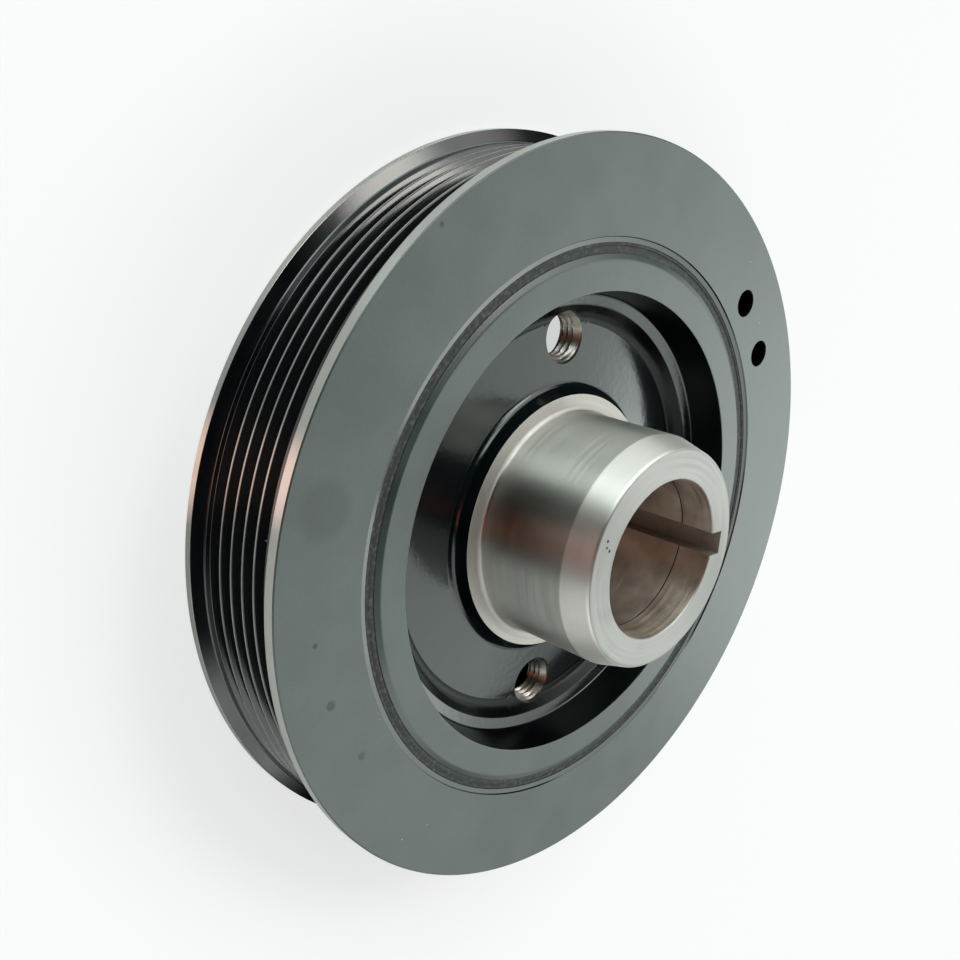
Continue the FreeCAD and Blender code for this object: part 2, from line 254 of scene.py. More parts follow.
@dataclass
class TurnedMesh:
    """Mesh of a turned piece: a grid of rows by columns, with round holes let into it.

    A point of the grid lies at (radius * cos(angle), radius * sin(angle), height), with the
    radius and the height of its row and the angle of its column.

    Attributes:
        section: the piece's section, which gives the rows.
        angles: angle of each column.
        keyway: slot that widens the rows of the bore, if there is one.
        points: blocks of vertices, the grid's own first.
        quads: blocks of faces outside the grid, with -1 as the last corner of a triangle.
        kinds: finish numbers of those faces.
        total: number of vertices.
        removed: which cells of the grid are taken out.
        PATCH_SHARES: how far the loops of a patch have come from its rim to the hole's mouth.
    """

    section: Section
    angles: np.ndarray
    keyway: "Keyway | None" = None
    points: list[np.ndarray] = field(init=False, default_factory=list)
    quads: list[np.ndarray] = field(init=False, default_factory=list)
    kinds: list[np.ndarray] = field(init=False, default_factory=list)
    total: int = field(init=False, default=0)
    removed: np.ndarray = field(init=False)

    PATCH_SHARES: ClassVar[tuple[float, ...]] = (0.35, 0.65, 0.85, 0.95, 1.0)

    def __post_init__(self) -> None:
        """Lays the grid's vertices: each row is a circle, widened where the keyway cuts it."""
        radii = np.repeat(self.section.radii[:, None], self.angles.size, axis=1)
        if self.keyway is not None:
            radii = self.keyway.widened(radii, self.section, self.angles)
        heights = np.broadcast_to(self.section.heights[:, None], radii.shape)
        grid = np.stack([radii * np.cos(self.angles), radii * np.sin(self.angles), heights], -1)
        self.add_points(grid.reshape(-1, 3))
        self.removed = np.zeros(radii.shape, bool)

    def add_points(self, points: np.ndarray) -> np.ndarray:
        """Adds vertices.

        Args:
            points: their places, one a row.

        Returns:
            Their numbers in the mesh.
        """
        numbers = np.arange(self.total, self.total + len(points))
        self.points.append(points)
        self.total += len(points)
        return numbers

    def add_strip(self, outer: np.ndarray, inner: np.ndarray, kinds: "int | np.ndarray") -> None:
        """Joins two closed loops of as many vertices by a strip of quads.

        Args:
            outer: vertex numbers of one loop.
            inner: vertex numbers of the other, starting beside the first one's start.
            kinds: finish number of the whole strip, or of each quad.
        """
        self.quads.append(np.stack([outer, inner, np.roll(inner, -1), np.roll(outer, -1)], -1))
        self.kinds.append(np.broadcast_to(kinds, len(outer)))

    def add_fan(self, loop: np.ndarray, tip: np.ndarray, kind: int) -> None:
        """Closes a loop by triangles to one vertex.

        Args:
            loop: vertex numbers of the loop.
            tip: place of the vertex.
            kind: finish number of the triangles.
        """
        number = self.add_points(tip[None, :])[0]
        ends = np.full((loop.size, 2), (number, -1))
        self.quads.append(np.column_stack([np.roll(loop, -1), loop, ends]))
        self.kinds.append(np.full(loop.size, kind))

    def open_patch(self, hole: "RoundHole", rows: tuple[int, int], columns: tuple[int, int]) -> np.ndarray:
        """Takes a block of cells out of the grid and fills it up to a round mouth.

        The block's rim goes over to the circle in a few loops. Each point of a loop is the
        weighted mean of its rim point and its circle point, at the section's own height there,
        and each quad has the finish that the section has under it.

        Args:
            hole: the hole whose mouth is left open; it gets the angles of the mouth's vertices.
            rows: first and last row of the block.
            columns: first and last column of the block.

        Returns:
            Numbers of the mouth's vertices, in the turning sense of the grid's own faces.
        """
        (low, high), (left, right) = rows, columns
        width = self.angles.size
        self.removed[low:high, left:right] = True
        down, across = np.arange(low, high), np.arange(left, right)
        rim = np.concatenate([
            down * width + left,
            high * width + across,
            (down[::-1] + 1) * width + right,
            low * width + across[::-1] + 1,
        ])
        flat = np.concatenate(self.points)[rim, :2]
        centre = hole.centre()
        start = math.atan2(flat[0, 1] - centre[1], flat[0, 0] - centre[0])
        shoelace = np.roll(flat[:, 0], -1) * flat[:, 1] - flat[:, 0] * np.roll(flat[:, 1], -1)
        sense = -math.copysign(1.0, shoelace.sum())
        step = FULL_TURN / rim.size
        hole.spokes = round(start / step) * step + sense * step * np.arange(rim.size)
        circle = centre + hole.mouth * hole.directions()
        span = slice(low, high + 1)
        order = np.argsort(self.section.radii[span])
        known = self.section.radii[span][order], self.section.heights[span][order]
        kinds = np.array([finish.number for finish in self.section.finishes[low:high]])
        kinds = kinds[np.minimum(order[:-1], order[1:])]
        loop, before = rim, np.hypot(flat[:, 0], flat[:, 1])
        for share in self.PATCH_SHARES:
            place = flat * (1 - share) + circle * share
            after = np.hypot(place[:, 0], place[:, 1])
            inner = self.add_points(np.column_stack([place, np.interp(after, *known)]))
            middle = (before + after + np.roll(before + after, -1)) / 4
            under = (np.searchsorted(known[0], middle) - 1).clip(0, kinds.size - 1)
            self.add_strip(loop, inner, kinds[under])
            loop, before = inner, after
        return loop

    def build(self, name: str, finishes: "FinishTable") -> bpy.types.Object:
        """Makes the Blender object, with one material slot for each finish that it uses.

        Args:
            name: the object's name.
            finishes: the materials by finish.

        Returns:
            The object, at the origin, with its place in its mesh.
        """
        height, width = self.removed.shape
        row, column = np.nonzero(~self.removed)
        below, beside = (row + 1) % height, (column + 1) % width
        grid = np.stack([row * width + column, row * width + beside,
                         below * width + beside, below * width + column], -1)
        kinds = np.array([finish.number for finish in self.section.finishes])[row]
        if self.keyway is not None:
            cut = self.keyway.cut_cells(self.section, self.angles)[row, column]
            kinds = np.where(cut, Finish.BROACHED.number, kinds)
        faces = np.concatenate([grid] + self.quads)
        kinds = np.concatenate([kinds] + self.kinds)
        return mesh_object(name, np.concatenate(self.points) * MM, faces, kinds, finishes)


def mesh_object(name: str, points: np.ndarray, faces: np.ndarray, kinds: np.ndarray,
                finishes: "FinishTable") -> bpy.types.Object:
    """Puts whole arrays of vertices and faces into a mesh.

    Args:
        name: name of the mesh and its object.
        points: vertices, in metres.
        faces: four vertex numbers for each face, the last one -1 in a triangle.
        kinds: number of each face's finish.
        finishes: the materials by finish.

    Returns:
        The linked object, shaded smooth with sharp edges kept.
    """
    used, slots = np.unique(kinds, return_inverse=True)
    sides = np.where(faces[:, 3] < 0, 3, 4)
    corners = faces.reshape(-1)
    mesh = bpy.data.meshes.new(name)
    mesh.vertices.add(len(points))
    mesh.vertices.foreach_set("co", points.astype(np.float32).ravel())
    mesh.loops.add(int(sides.sum()))
    mesh.loops.foreach_set("vertex_index", corners[corners >= 0].astype(np.int32))
    mesh.polygons.add(len(faces))
    mesh.polygons.foreach_set("loop_start", (np.cumsum(sides) - sides).astype(np.int32))
    mesh.polygons.foreach_set("material_index", slots.astype(np.int32))
    mesh.update(calc_edges=True)
    mesh.validate()
    for number in used:
        mesh.materials.append(finishes.material(list(Finish)[number]))
    mesh.shade_smooth()
    mesh.set_sharp_from_angle(angle=SHARP_EDGE)
    piece = bpy.data.objects.new(name, mesh)
    bpy.context.scene.collection.objects.link(piece)
    return piece


def even_columns(count: int) -> np.ndarray:
    """Angles of evenly spaced columns, from the keyway on."""
    return np.arange(count) * (FULL_TURN / count)


# Holes


@dataclass
class RoundHole:
    """A round hole parallel to the axis.

    Attributes:
        place: distance from the crankshaft axis.
        bearing: angle from the keyway, in degrees.
        mouth: radius of the mouth in the surface.
        spokes: angles of the mouth's vertices, set when the mouth is let into a surface.
    """

    place: float
    bearing: float
    mouth: float
    spokes: np.ndarray | None = None

    def centre(self) -> np.ndarray:
        """Centre of the hole, seen along the axis."""
        angle = math.radians(self.bearing)
        return self.place * np.array([math.cos(angle), math.sin(angle)])

    def directions(self) -> np.ndarray:
        """Unit vector of each spoke: the cosine and the sine of its angle."""
        return np.stack([np.cos(self.spokes), np.sin(self.spokes)], -1)

    def ring(self, radii: np.ndarray | float, heights: np.ndarray | float) -> np.ndarray:
        """Vertices round the hole: the centre plus each radius along each spoke."""
        flat = self.centre() + np.asarray(radii)[..., None] * self.directions()
        return np.column_stack([flat, np.broadcast_to(heights, self.spokes.shape)])


@dataclass
class BlindHole(RoundHole):
    """A drilled hole with a broken edge and the cone of the drill's point.

    Attributes:
        radius: radius of the drill.
        depth: depth of the hole's full width.
        point_angle: angle of the drill's point, in degrees.
        support: distance of the row that keeps the wall flat below its broken edge.
    """

    radius: float = 3.0
    depth: float = 9.0
    point_angle: float = 118.0
    support: float = 0.15

    def sink(self, mesh: TurnedMesh, loop: np.ndarray, top: float) -> None:
        """Adds the hole's wall and bottom below its mouth.

        Args:
            mesh: mesh that has the mouth.
            loop: numbers of the mouth's vertices.
            top: height of the surface round the mouth.
        """
        edge = self.mouth - self.radius
        for drop in (edge, edge + self.support, self.depth / 2, self.depth):
            inner = mesh.add_points(self.ring(self.radius, top - drop))
            mesh.add_strip(loop, inner, Finish.DRILLED.number)
            loop = inner
        point = self.radius / math.tan(math.radians(self.point_angle / 2))
        mesh.add_fan(loop, np.append(self.centre(), top - self.depth - point), Finish.DRILLED.number)


@dataclass
class TappedHole(RoundHole):
    """A through hole with an M10 thread and countersunk mouths.

    Attributes:
        core: radius of the drilled core.
        crest: radius of the thread's outer edge.
        pitch: height of one turn of thread.
        flat: share of the pitch by which the thread's crests and roots are flattened.
        rows_per_turn: rows of the wall in one turn.
        top_gap: distance of the first row from the upper mouth.
        bottom_gap: least distance of the last row from the lower mouth.
    """

    core: float = 4.3
    crest: float = 5.0
    pitch: float = 1.5
    flat: float = 0.125
    rows_per_turn: int = 8
    top_gap: float = 0.15
    bottom_gap: float = 0.1

    def thread(self, height: float) -> np.ndarray:
        """Radius of the thread round the hole at one height.

        The flank is a triangle wave of the height minus the part of a pitch that the angle has
        climbed, with its crests and roots flattened to an eighth of the pitch.

        Args:
            height: height over the floor.

        Returns:
            One radius for each spoke.
        """
        climb = height / self.pitch - self.spokes / FULL_TURN
        wave = abs(2 * (climb - np.floor(climb)) - 1)
        wave = np.clip((wave - self.flat) / (1 - 2 * self.flat), 0.0, 1.0)
        return self.core + (self.crest - self.core) * wave

    def sink(self, mesh: TurnedMesh, upper: np.ndarray, lower: np.ndarray, lower_spokes: np.ndarray) -> None:
        """Joins both mouths by the threaded wall.

        At each height the wall's radius is the larger of the thread's and the countersink's.

        Args:
            mesh: mesh that has both mouths.
            upper: numbers of the upper mouth's vertices.
            lower: numbers of the lower mouth's vertices.
            lower_spokes: angles of the lower mouth's vertices.
        """
        points = np.concatenate(mesh.points)
        top, bottom = points[upper, 2].min(), points[lower, 2].max()
        loop = upper
        for height in np.arange(top - self.top_gap, bottom + self.bottom_gap, -self.pitch / self.rows_per_turn):
            countersink = self.mouth - min(top - height, height - bottom)
            inner = mesh.add_points(self.ring(np.maximum(self.thread(height), countersink), height))
            mesh.add_strip(loop, inner, Finish.CUT_THREAD.number)
            loop = inner
        step = FULL_TURN / self.spokes.size
        shift = np.rint((lower_spokes - self.spokes[0]) / step).astype(int)
        sense = round((self.spokes[1] - self.spokes[0]) / step)
        matched = np.empty_like(lower)
        matched[(shift * sense) % self.spokes.size] = lower
        mesh.add_strip(loop, matched, Finish.CUT_THREAD.number)


@dataclass(frozen=True)
class Keyway:
    """Straight slot in the bore's wall, along X.

    Attributes:
        width: width across the slot.
        floor: distance from the axis to the slot's floor.
        bore: radius of the bore.
        bore_mouth: radius of the bore's chamfer at the end of the snout.
        mouth_margin: how far over that the bore's other chamfer may reach.
        FLOOR_COLUMNS: columns in half of the slot's floor, with the one at its corner.
        SIDE_SHARE: where a column divides the slot's side, from its corner to its mouth.
        CLEARANCE: least distance of the even columns from the slot, in steps.
        SLACK: angle within which a column counts as lying on the slot's edge.
        TINY: least divisor.
    """

    width: float = 5.15
    floor: float = 20.1
    bore: float = 17.0
    bore_mouth: float = 17.2
    mouth_margin: float = 0.3

    FLOOR_COLUMNS: ClassVar[int] = 8
    SIDE_SHARE: ClassVar[float] = 0.4
    CLEARANCE: ClassVar[float] = 0.6
    SLACK: ClassVar[float] = 1e-6
    TINY: ClassVar[float] = 1e-9

    def columns(self, count: int) -> np.ndarray:
        """Even columns, with those near the slot moved so that its corners lie on columns.

        Args:
            count: number of even columns in a full turn.

        Returns:
            Angles of the columns, from the middle of the slot on.
        """
        step, half = FULL_TURN / count, self.width / 2
        wall, mouth = math.asin(half / self.bore), math.asin(half / self.bore_mouth)
        corner = math.atan(half / self.floor)
        edge = wall + self.CLEARANCE * step
        even = even_columns(count)
        clear = even[(even > edge) & (even < FULL_TURN - edge)]
        floor = np.linspace(0.0, corner, self.FLOOR_COLUMNS)
        near = np.append(floor, [corner + self.SIDE_SHARE * (mouth - corner), mouth, wall])
        return np.concatenate([near, clear, FULL_TURN - near[:0:-1]])

    def reach(self, angles: np.ndarray) -> np.ndarray:
        """Distance from the axis to the slot's outline.

        It is the floor's distance divided by the angle's cosine, or half the width divided by
        its sine beyond the slot's corner.

        Args:
            angles: angles from the middle of the slot.

        Returns:
            One distance for each angle, 0 on the side away from the slot.
        """
        ahead = np.cos(angles) > 0
        side = self.width / 2 / np.maximum(np.where(ahead, abs(np.sin(angles)), 1.0), self.TINY)
        floor = self.floor / np.maximum(np.cos(angles), self.TINY)
        return np.where(ahead, np.minimum(floor, side), 0.0)

    def bore_rows(self, section: Section) -> np.ndarray:
        """Which rows belong to the bore and its mouths."""
        return section.radii <= self.bore_mouth + self.mouth_margin

    def widened(self, radii: np.ndarray, section: Section, angles: np.ndarray) -> np.ndarray:
        """Pushes the bore's rows out to the slot's outline.

        Args:
            radii: radius of each point of the grid.
            section: the grid's section.
            angles: angles of the grid's columns.

        Returns:
            The new radii.
        """
        rows = self.bore_rows(section)
        radii[rows] = np.maximum(radii[rows], self.reach(angles)[None, :])
        return radii

    def cut_cells(self, section: Section, angles: np.ndarray) -> np.ndarray:
        """Finds the cells of the grid that are the slot's own floor and sides.

        Args:
            section: the grid's section.
            angles: angles of the grid's columns.

        Returns:
            True for each such cell, by row and column.
        """
        rows = self.bore_rows(section)
        offset = np.minimum(angles, FULL_TURN - angles)
        inside = offset <= math.asin(self.width / 2 / self.bore) + self.SLACK
        return (rows & np.roll(rows, -1))[:, None] & (inside & np.roll(inside, -1))[None, :]


# Pieces


@dataclass
class PulleyRing:
    """Outer ring: flanges with bare lands, five belt grooves, painted faces, balancing holes.

    Attributes:
        height: height of the front face.
        seat: radius of the seat that the rubber is bonded to.
        seat_chamfer: chamfer at the seat's rear end.
        crest: radius of the ribs between the grooves.
        crest_fall: how much lower the front edge of a crest is than its rear edge.
        front_flange: radius of the front flange.
        rear_flange: radius of the rear flange.
        front_land: width of the front flange's bare edge.
        rear_land: width of the rear flange's bare edge.
        front_flank: width of the slope behind the front flange.
        rear_flank: width of the slope before the rear flange.
        edge_break: chamfer at the edges of both flanges.
        mouth_width: width of the bevel beside the rubber.
        mouth_depth: depth of that bevel at the seat.
        mouth_step: width and depth of its first stretch, beside the face.
        groove_pitch: distance from groove to groove.
        groove_count: number of grooves.
        groove_setback: distance of the first groove's middle from the front face.
        groove_depth: depth of a groove.
        groove_angle: slope of a groove's walls, in degrees.
        groove_foot: rounding at the bottom of a groove.
        crest_width: width of a rib where its walls begin.
        crest_wear: width of the bare metal on it.
        crest_edge: rounding where a wall begins.
        columns: columns of the mesh.
        hole_cells: rows and columns of the patch round a balancing hole.
        hole_place: distance of the balancing holes from the axis.
        hole_mouth: radius of their mouths.
        hole_bearings: their angles from the keyway, in degrees.
    """

    height: float = 29.4
    seat: float = 60.5
    seat_chamfer: float = 0.8
    crest: float = 77.4
    crest_fall: float = 0.03
    front_flange: float = 81.0
    rear_flange: float = 80.0
    front_land: float = 2.5
    rear_land: float = 1.8
    front_flank: float = 1.2
    rear_flank: float = 1.0
    edge_break: float = 0.22
    mouth_width: float = 1.2
    mouth_depth: float = 0.45
    mouth_step: tuple[float, float] = (0.2, 0.3)
    groove_pitch: float = 3.56
    groove_count: int = 5
    groove_setback: float = 9.27
    groove_depth: float = 3.0
    groove_angle: float = 20.0
    groove_foot: float = 0.25
    crest_width: float = 0.68
    crest_wear: float = 0.3
    crest_edge: float = 0.16
    columns: int = 384
    hole_cells: int = 8
    hole_place: float = 68.3
    hole_mouth: float = 3.15
    hole_bearings: tuple[float, float] = (29.7, 42.5)

    def groove(self, number: int) -> list[Corner]:
        """Section of one belt groove, from the crest behind it to the crest before it.

        Args:
            number: the groove's number, from 0 at the front.

        Returns:
            Its corners in order.
        """
        middle = self.height - self.groove_setback - number * self.groove_pitch
        mouth = (self.groove_pitch - self.crest_width) / 2
        floor = mouth - self.groove_depth * math.tan(math.radians(self.groove_angle))
        edge = mouth + (self.crest_width - self.crest_wear) / 2
        bottom, lip = self.crest - self.groove_depth, self.crest - self.crest_fall
        enamel, crest = Finish.GROOVE_ENAMEL, Finish.RIB_CREST
        rearmost, foremost = number == self.groove_count - 1, number == 0
        return [
            Corner(lip, middle - edge, 0.0, enamel),
            Corner(lip, middle - mouth, self.crest_edge, enamel),
            Corner(bottom, middle - floor, self.groove_foot, enamel),
            Corner(bottom, middle + floor, self.groove_foot, enamel),
            Corner(lip, middle + mouth, self.crest_edge, enamel),
            Corner(self.crest, middle + edge, 0.0, enamel if foremost else crest),
        ][rearmost:]

    def corners(self) -> list[Corner]:
        """Section of the ring.

        Returns:
            Its corners, from the rear face outwards and round to the seat.
        """
        enamel, land, groove = Finish.FACE_ENAMEL, Finish.TURNED_LAND, Finish.GROOVE_ENAMEL
        mouth, (step, drop) = self.seat + self.mouth_width, self.mouth_step
        grooves = [corner for number in reversed(range(self.groove_count)) for corner in self.groove(number)]
        return [
            Corner(self.seat + self.seat_chamfer, 0.0, 0.0, enamel),
            Corner(self.rear_flange - self.edge_break, 0.0, 0.08, enamel),
            Corner(self.rear_flange, self.edge_break, 0.08, land),
            Corner(self.rear_flange, self.rear_land, 0.12, groove),
            Corner(self.crest, self.rear_land + self.rear_flank, 0.5, groove),
            *grooves,
            Corner(self.crest, self.height - self.front_land - self.front_flank, 0.5, groove),
            Corner(self.front_flange, self.height - self.front_land, 0.12, land),
            Corner(self.front_flange, self.height - self.edge_break, 0.12, enamel),
            Corner(self.front_flange - self.edge_break, self.height, 0.12, enamel),
            Corner(mouth, self.height, 0.04, groove),
            Corner(mouth - step, self.height - drop, 0.06, groove),
            Corner(self.seat, self.height - self.mouth_depth, 0.0, groove),
            Corner(self.seat, self.seat_chamfer, 0.0, enamel),
        ]

    def build(self, finishes: "FinishTable") -> bpy.types.Object:
        """Builds the ring in place of its CAD node.

        Args:
            finishes: the materials by finish.

        Returns:
            The ring's object.
        """
        reach = self.hole_cells / 2 * self.hole_place * FULL_TURN / self.columns
        outer, inner = self.hole_place + reach, self.hole_place - reach
        section = Section.from_corners(self.corners())
        section = section.with_even_rows(outer, inner, self.height, self.hole_cells)
        mesh = TurnedMesh(section, even_columns(self.columns))
        first = section.row_at(outer, self.height)
        for bearing in self.hole_bearings:
            left = round(bearing / 360 * self.columns) - self.hole_cells // 2
            hole = BlindHole(place=self.hole_place, bearing=bearing, mouth=self.hole_mouth)
            loop = mesh.open_patch(hole, (first, first + self.hole_cells), (left, left + self.hole_cells))
            hole.sink(mesh, loop, self.height)
        piece = mesh.build("pulley_ring_turned", finishes)
        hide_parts("pulley_ring")
        return piece


@dataclass
class RubberRing:
    """Bonded rubber ring, with a moulded lip along its outer edge.

    Attributes:
        inner: radius of the hub's rim, which it is bonded to.
        outer: radius of the pulley ring's seat.
        front: height of its front between the lip and the rim.
        lip: height of the lip.
        lip_edges: distances from the seat to the lip's outer edge, inner edge and foot.
        lip_drop: height of the lip over its foot.
        rim_width: width of the slope beside the rim.
        rim_drop: how far that slope falls.
        rear: height of its rear in the middle.
        rear_crown: how far the rear bulges.
        columns: columns of the mesh.
    """

    inner: float = 58.3
    outer: float = 60.5
    front: float = 28.85
    lip: float = 28.9
    lip_edges: tuple[float, float, float] = (0.25, 0.55, 0.75)
    lip_drop: float = 0.25
    rim_width: float = 0.7
    rim_drop: float = 0.06
    rear: float = 1.2
    rear_crown: float = 0.2
    columns: int = 384

    def corners(self) -> list[Corner]:
        """Section of the rubber ring.

        Returns:
            Its corners, from the rear outwards and round to the hub's rim.
        """
        rubber = Finish.MOULDED_RUBBER
        outer_edge, inner_edge, foot = (self.outer - distance for distance in self.lip_edges)
        return [
            Corner(self.inner, self.rear + self.rear_crown, 0.1, rubber),
            Corner((self.inner + self.outer) / 2, self.rear, 1.5, rubber),
            Corner(self.outer, self.rear + self.rear_crown, 0.1, rubber),
            Corner(self.outer, self.lip - 0.1, 0.05, rubber),
            Corner(outer_edge, self.lip, 0.08, rubber),
            Corner(inner_edge, self.lip, 0.08, rubber),
            Corner(foot, self.lip - self.lip_drop, 0.1, rubber),
            Corner(self.inner + self.rim_width, self.front, 0.5, rubber),
            Corner(self.inner, self.front - self.rim_drop, 0.0, rubber),
        ]

    def build(self, finishes: "FinishTable") -> bpy.types.Object:
        """Builds the rubber ring in place of its CAD node.

        Args:
            finishes: the materials by finish.

        Returns:
            The rubber ring's object.
        """
        mesh = TurnedMesh(Section.from_corners(self.corners()), even_columns(self.columns))
        piece = mesh.build("rubber_ring_moulded", finishes)
        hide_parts("rubber_ring")
        return piece


@dataclass
class Hub:
    """Hub casting: rim, recess, dished web, boss, snout with keyed bore, and tapped holes.

    A name such as wall_foot is a radius, and one with height in it is a height over the floor.

    Attributes:
        face: height of the rim's front.
        rear: height of the rim's rear.
        rim: radius of the rim.
        rim_rounding: width and depth of its rounded front edge.
        rim_chamfer: chamfer of its rear edge.
        recess_mouth: where the recess begins.
        wall_foot, wall_foot_height: foot of the recess's wall.
        ledge_edge, ledge_edge_height: inner edge of the ledge at that foot.
        web_edge, web_edge_height: edge of the web.
        hollow_width: width of the rounding there that has the hollow's finish.
        boss_foot, boss_foot_height: foot of the boss.
        boss, boss_height: edge of the boss's face.
        snout, snout_end: radius of the snout, and the height of its end.
        lead_in: length of the snout's taper.
        lead_in_end: radius at the taper's end.
        bore_chamfer: depth of the bore's chamfer at the snout's end.
        washer_pocket, washer_seat: radius of the rear pocket, and the height of its floor.
        washer_chamfer: chamfer of the bore in that floor.
        rear_boss, rear_boss_height: edge of the rear boss.
        rear_boss_chamfer: chamfer of the pocket in the boss's face.
        web_underside: height of the web's rear.
        rear_recess: radius of the rear recess.
        rear_recess_bevel: width of the bevel at its mouth.
        score_drop, score_depth: place below the snout's end, and depth, of the score line.
        columns: columns of the mesh.
        tap_place, tap_bearings, tap_mouth: place, angles and mouth radius of the tapped holes.
        patch: innermost and outermost radius of the patches round them.
        patch_rows, patch_columns: cells of such a patch.
        keyway: the slot in the bore.
    """

    face: float = 29.4
    rear: float = 0.8
    rim: float = 58.3
    rim_rounding: tuple[float, float] = (1.2, 0.45)
    rim_chamfer: float = 0.8
    recess_mouth: float = 50.9
    wall_foot: float = 49.4
    wall_foot_height: float = 21.4
    ledge_edge: float = 47.0
    ledge_edge_height: float = 20.75
    web_edge: float = 44.5
    web_edge_height: float = 18.34
    hollow_width: float = 1.5
    boss_foot: float = 29.8
    boss_foot_height: float = 19.35
    boss: float = 28.55
    boss_height: float = 22.65
    snout: float = 25.0
    snout_end: float = 50.9
    lead_in: float = 6.1
    lead_in_end: float = 23.35
    bore_chamfer: float = 0.2
    washer_pocket: float = 22.0
    washer_seat: float = 5.0
    washer_chamfer: float = 0.3
    rear_boss: float = 27.8
    rear_boss_height: float = 2.0
    rear_boss_chamfer: float = 0.4
    web_underside: float = 12.34
    rear_recess: float = 50.1
    rear_recess_bevel: float = 0.3
    score_drop: float = 8.0
    score_depth: float = 0.14
    columns: int = 384
    tap_place: float = 40.0
    tap_bearings: tuple[float, float] = (90.0, 270.0)
    tap_mouth: float = 5.65
    patch: tuple[float, float] = (33.7, 46.6)
    patch_rows: int = 26
    patch_columns: int = 22
    keyway: Keyway = field(default_factory=Keyway)

    def web_height(self, radius: float) -> float:
        """Height of the web's front at a radius."""
        share = (self.web_edge - radius) / (self.web_edge - self.boss_foot)
        return self.web_edge_height + share * (self.boss_foot_height - self.web_edge_height)

    def corners(self) -> list[Corner]:
        """Section of the hub.

        Returns:
            Its corners, from the rear of its rim outwards and round to the rear recess.
        """
        enamel, cast, hollow = Finish.FACE_ENAMEL, Finish.CAST_ENAMEL, Finish.HOLLOW_ENAMEL
        turned, ground, bored = Finish.FINE_TURNED, Finish.GROUND_SNOUT, Finish.BORED
        bore, end, pocket = self.keyway.bore, self.snout_end, self.washer_pocket
        score, nick = end - self.score_drop, self.score_depth
        hollow_end = self.web_edge - self.hollow_width
        rounding, drop = self.rim_rounding
        return [
            Corner(self.rear_recess + self.rear_recess_bevel, self.rear, 0.2, enamel),
            Corner(self.rim - self.rim_chamfer, self.rear, 0.15, enamel),
            Corner(self.rim, self.rear + self.rim_chamfer, 0.0, enamel),
            Corner(self.rim, self.face - drop, 0.05, enamel),
            Corner(self.rim - rounding, self.face, 1.2, enamel),
            # The recess wall, the ledge slope and the web's edge take the hollow enamel, which is painted shade.
            Corner(self.recess_mouth, self.face, 0.25, hollow),
            Corner(self.wall_foot, self.wall_foot_height, 0.6, cast),
            Corner(self.ledge_edge, self.ledge_edge_height, 0.6, hollow),
            Corner(self.web_edge, self.web_edge_height, 2.8, hollow),
            Corner(hollow_end, self.web_height(hollow_end), 0.0, cast),
            Corner(self.boss_foot, self.boss_foot_height, 2.0, cast),
            Corner(self.boss, self.boss_height, 0.12, Finish.TURNED_BOSS),
            Corner(self.snout, self.boss_height, 0.95, ground),
            Corner(self.snout, end - self.lead_in, 1.2, Finish.TURNED_TAPER),
            Corner(self.lead_in_end, end, 0.8, turned),
            Corner(self.keyway.bore_mouth, end, 0.05, turned),
            Corner(bore, end - self.bore_chamfer, 0.05, bored),
            # The score line's upper flank takes the dark drilled finish, painted shade that makes it read as a black
            # line.
            Corner(bore, score + nick, 0.0, Finish.DRILLED),
            Corner(bore + nick, score, 0.0, Finish.DRILLED),
            Corner(bore, score - nick, 0.0, bored),
            Corner(bore, self.washer_seat + self.washer_chamfer, 0.08, turned),
            Corner(bore + self.washer_chamfer, self.washer_seat, 0.08, turned),
            Corner(pocket, self.washer_seat, 0.3, turned),
            Corner(pocket, self.rear_boss_height + self.rear_boss_chamfer, 0.1, turned),
            Corner(pocket + self.rear_boss_chamfer, self.rear_boss_height, 0.1, cast),
            Corner(self.rear_boss, self.rear_boss_height, 0.8, cast),
            Corner(self.rear_boss, self.web_underside, 3.0, cast),
            Corner(self.rear_recess, self.web_underside, 3.0, cast),
        ]

    def build(self, finishes: "FinishTable") -> bpy.types.Object:
        """Builds the hub in place of its CAD node.

        Args:
            finishes: the materials by finish.

        Returns:
            The hub's object.
        """
        low, high = self.patch
        section = Section.from_corners(self.corners())
        section = section.with_even_rows(high, low, self.boss_foot_height, self.patch_rows)
        section = section.with_even_rows(low, high, self.web_underside, self.patch_rows)
        angles = self.keyway.columns(self.columns)
        mesh = TurnedMesh(section, angles, self.keyway)
        upper_row = section.row_at(high, self.boss_foot_height)
        lower_row = section.row_at(low, self.web_underside)
        for bearing in self.tap_bearings:
            middle = int(np.argmin(abs(angles - math.radians(bearing))))
            columns = (middle - self.patch_columns // 2, middle + self.patch_columns // 2)
            hole = TappedHole(place=self.tap_place, bearing=bearing, mouth=self.tap_mouth)
            lower = mesh.open_patch(hole, (lower_row, lower_row + self.patch_rows), columns)
            lower_spokes = hole.spokes
            upper = mesh.open_patch(hole, (upper_row, upper_row + self.patch_rows), columns)
            hole.sink(mesh, upper, lower, lower_spokes)
        piece = mesh.build("hub_casting", finishes)
        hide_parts("hub")
        return piece


# Finishes


def linear(hex_colour: str) -> tuple[float, float, float, float]:
    """Turns an sRGB hex colour into linear light, by the straight and the curved part of sRGB.

    Args:
        hex_colour: a colour such as #1A2B3C.

    Returns:
        Linear red, green, blue and alpha.
    """
    values = np.array([int(hex_colour[i:i + 2], 16) for i in (1, 3, 5)]) / 255
    low, high = values / 12.92, ((values + 0.055) / 1.055) ** 2.4
    return (*np.where(values <= 0.04045, low, high).tolist(), 1.0)


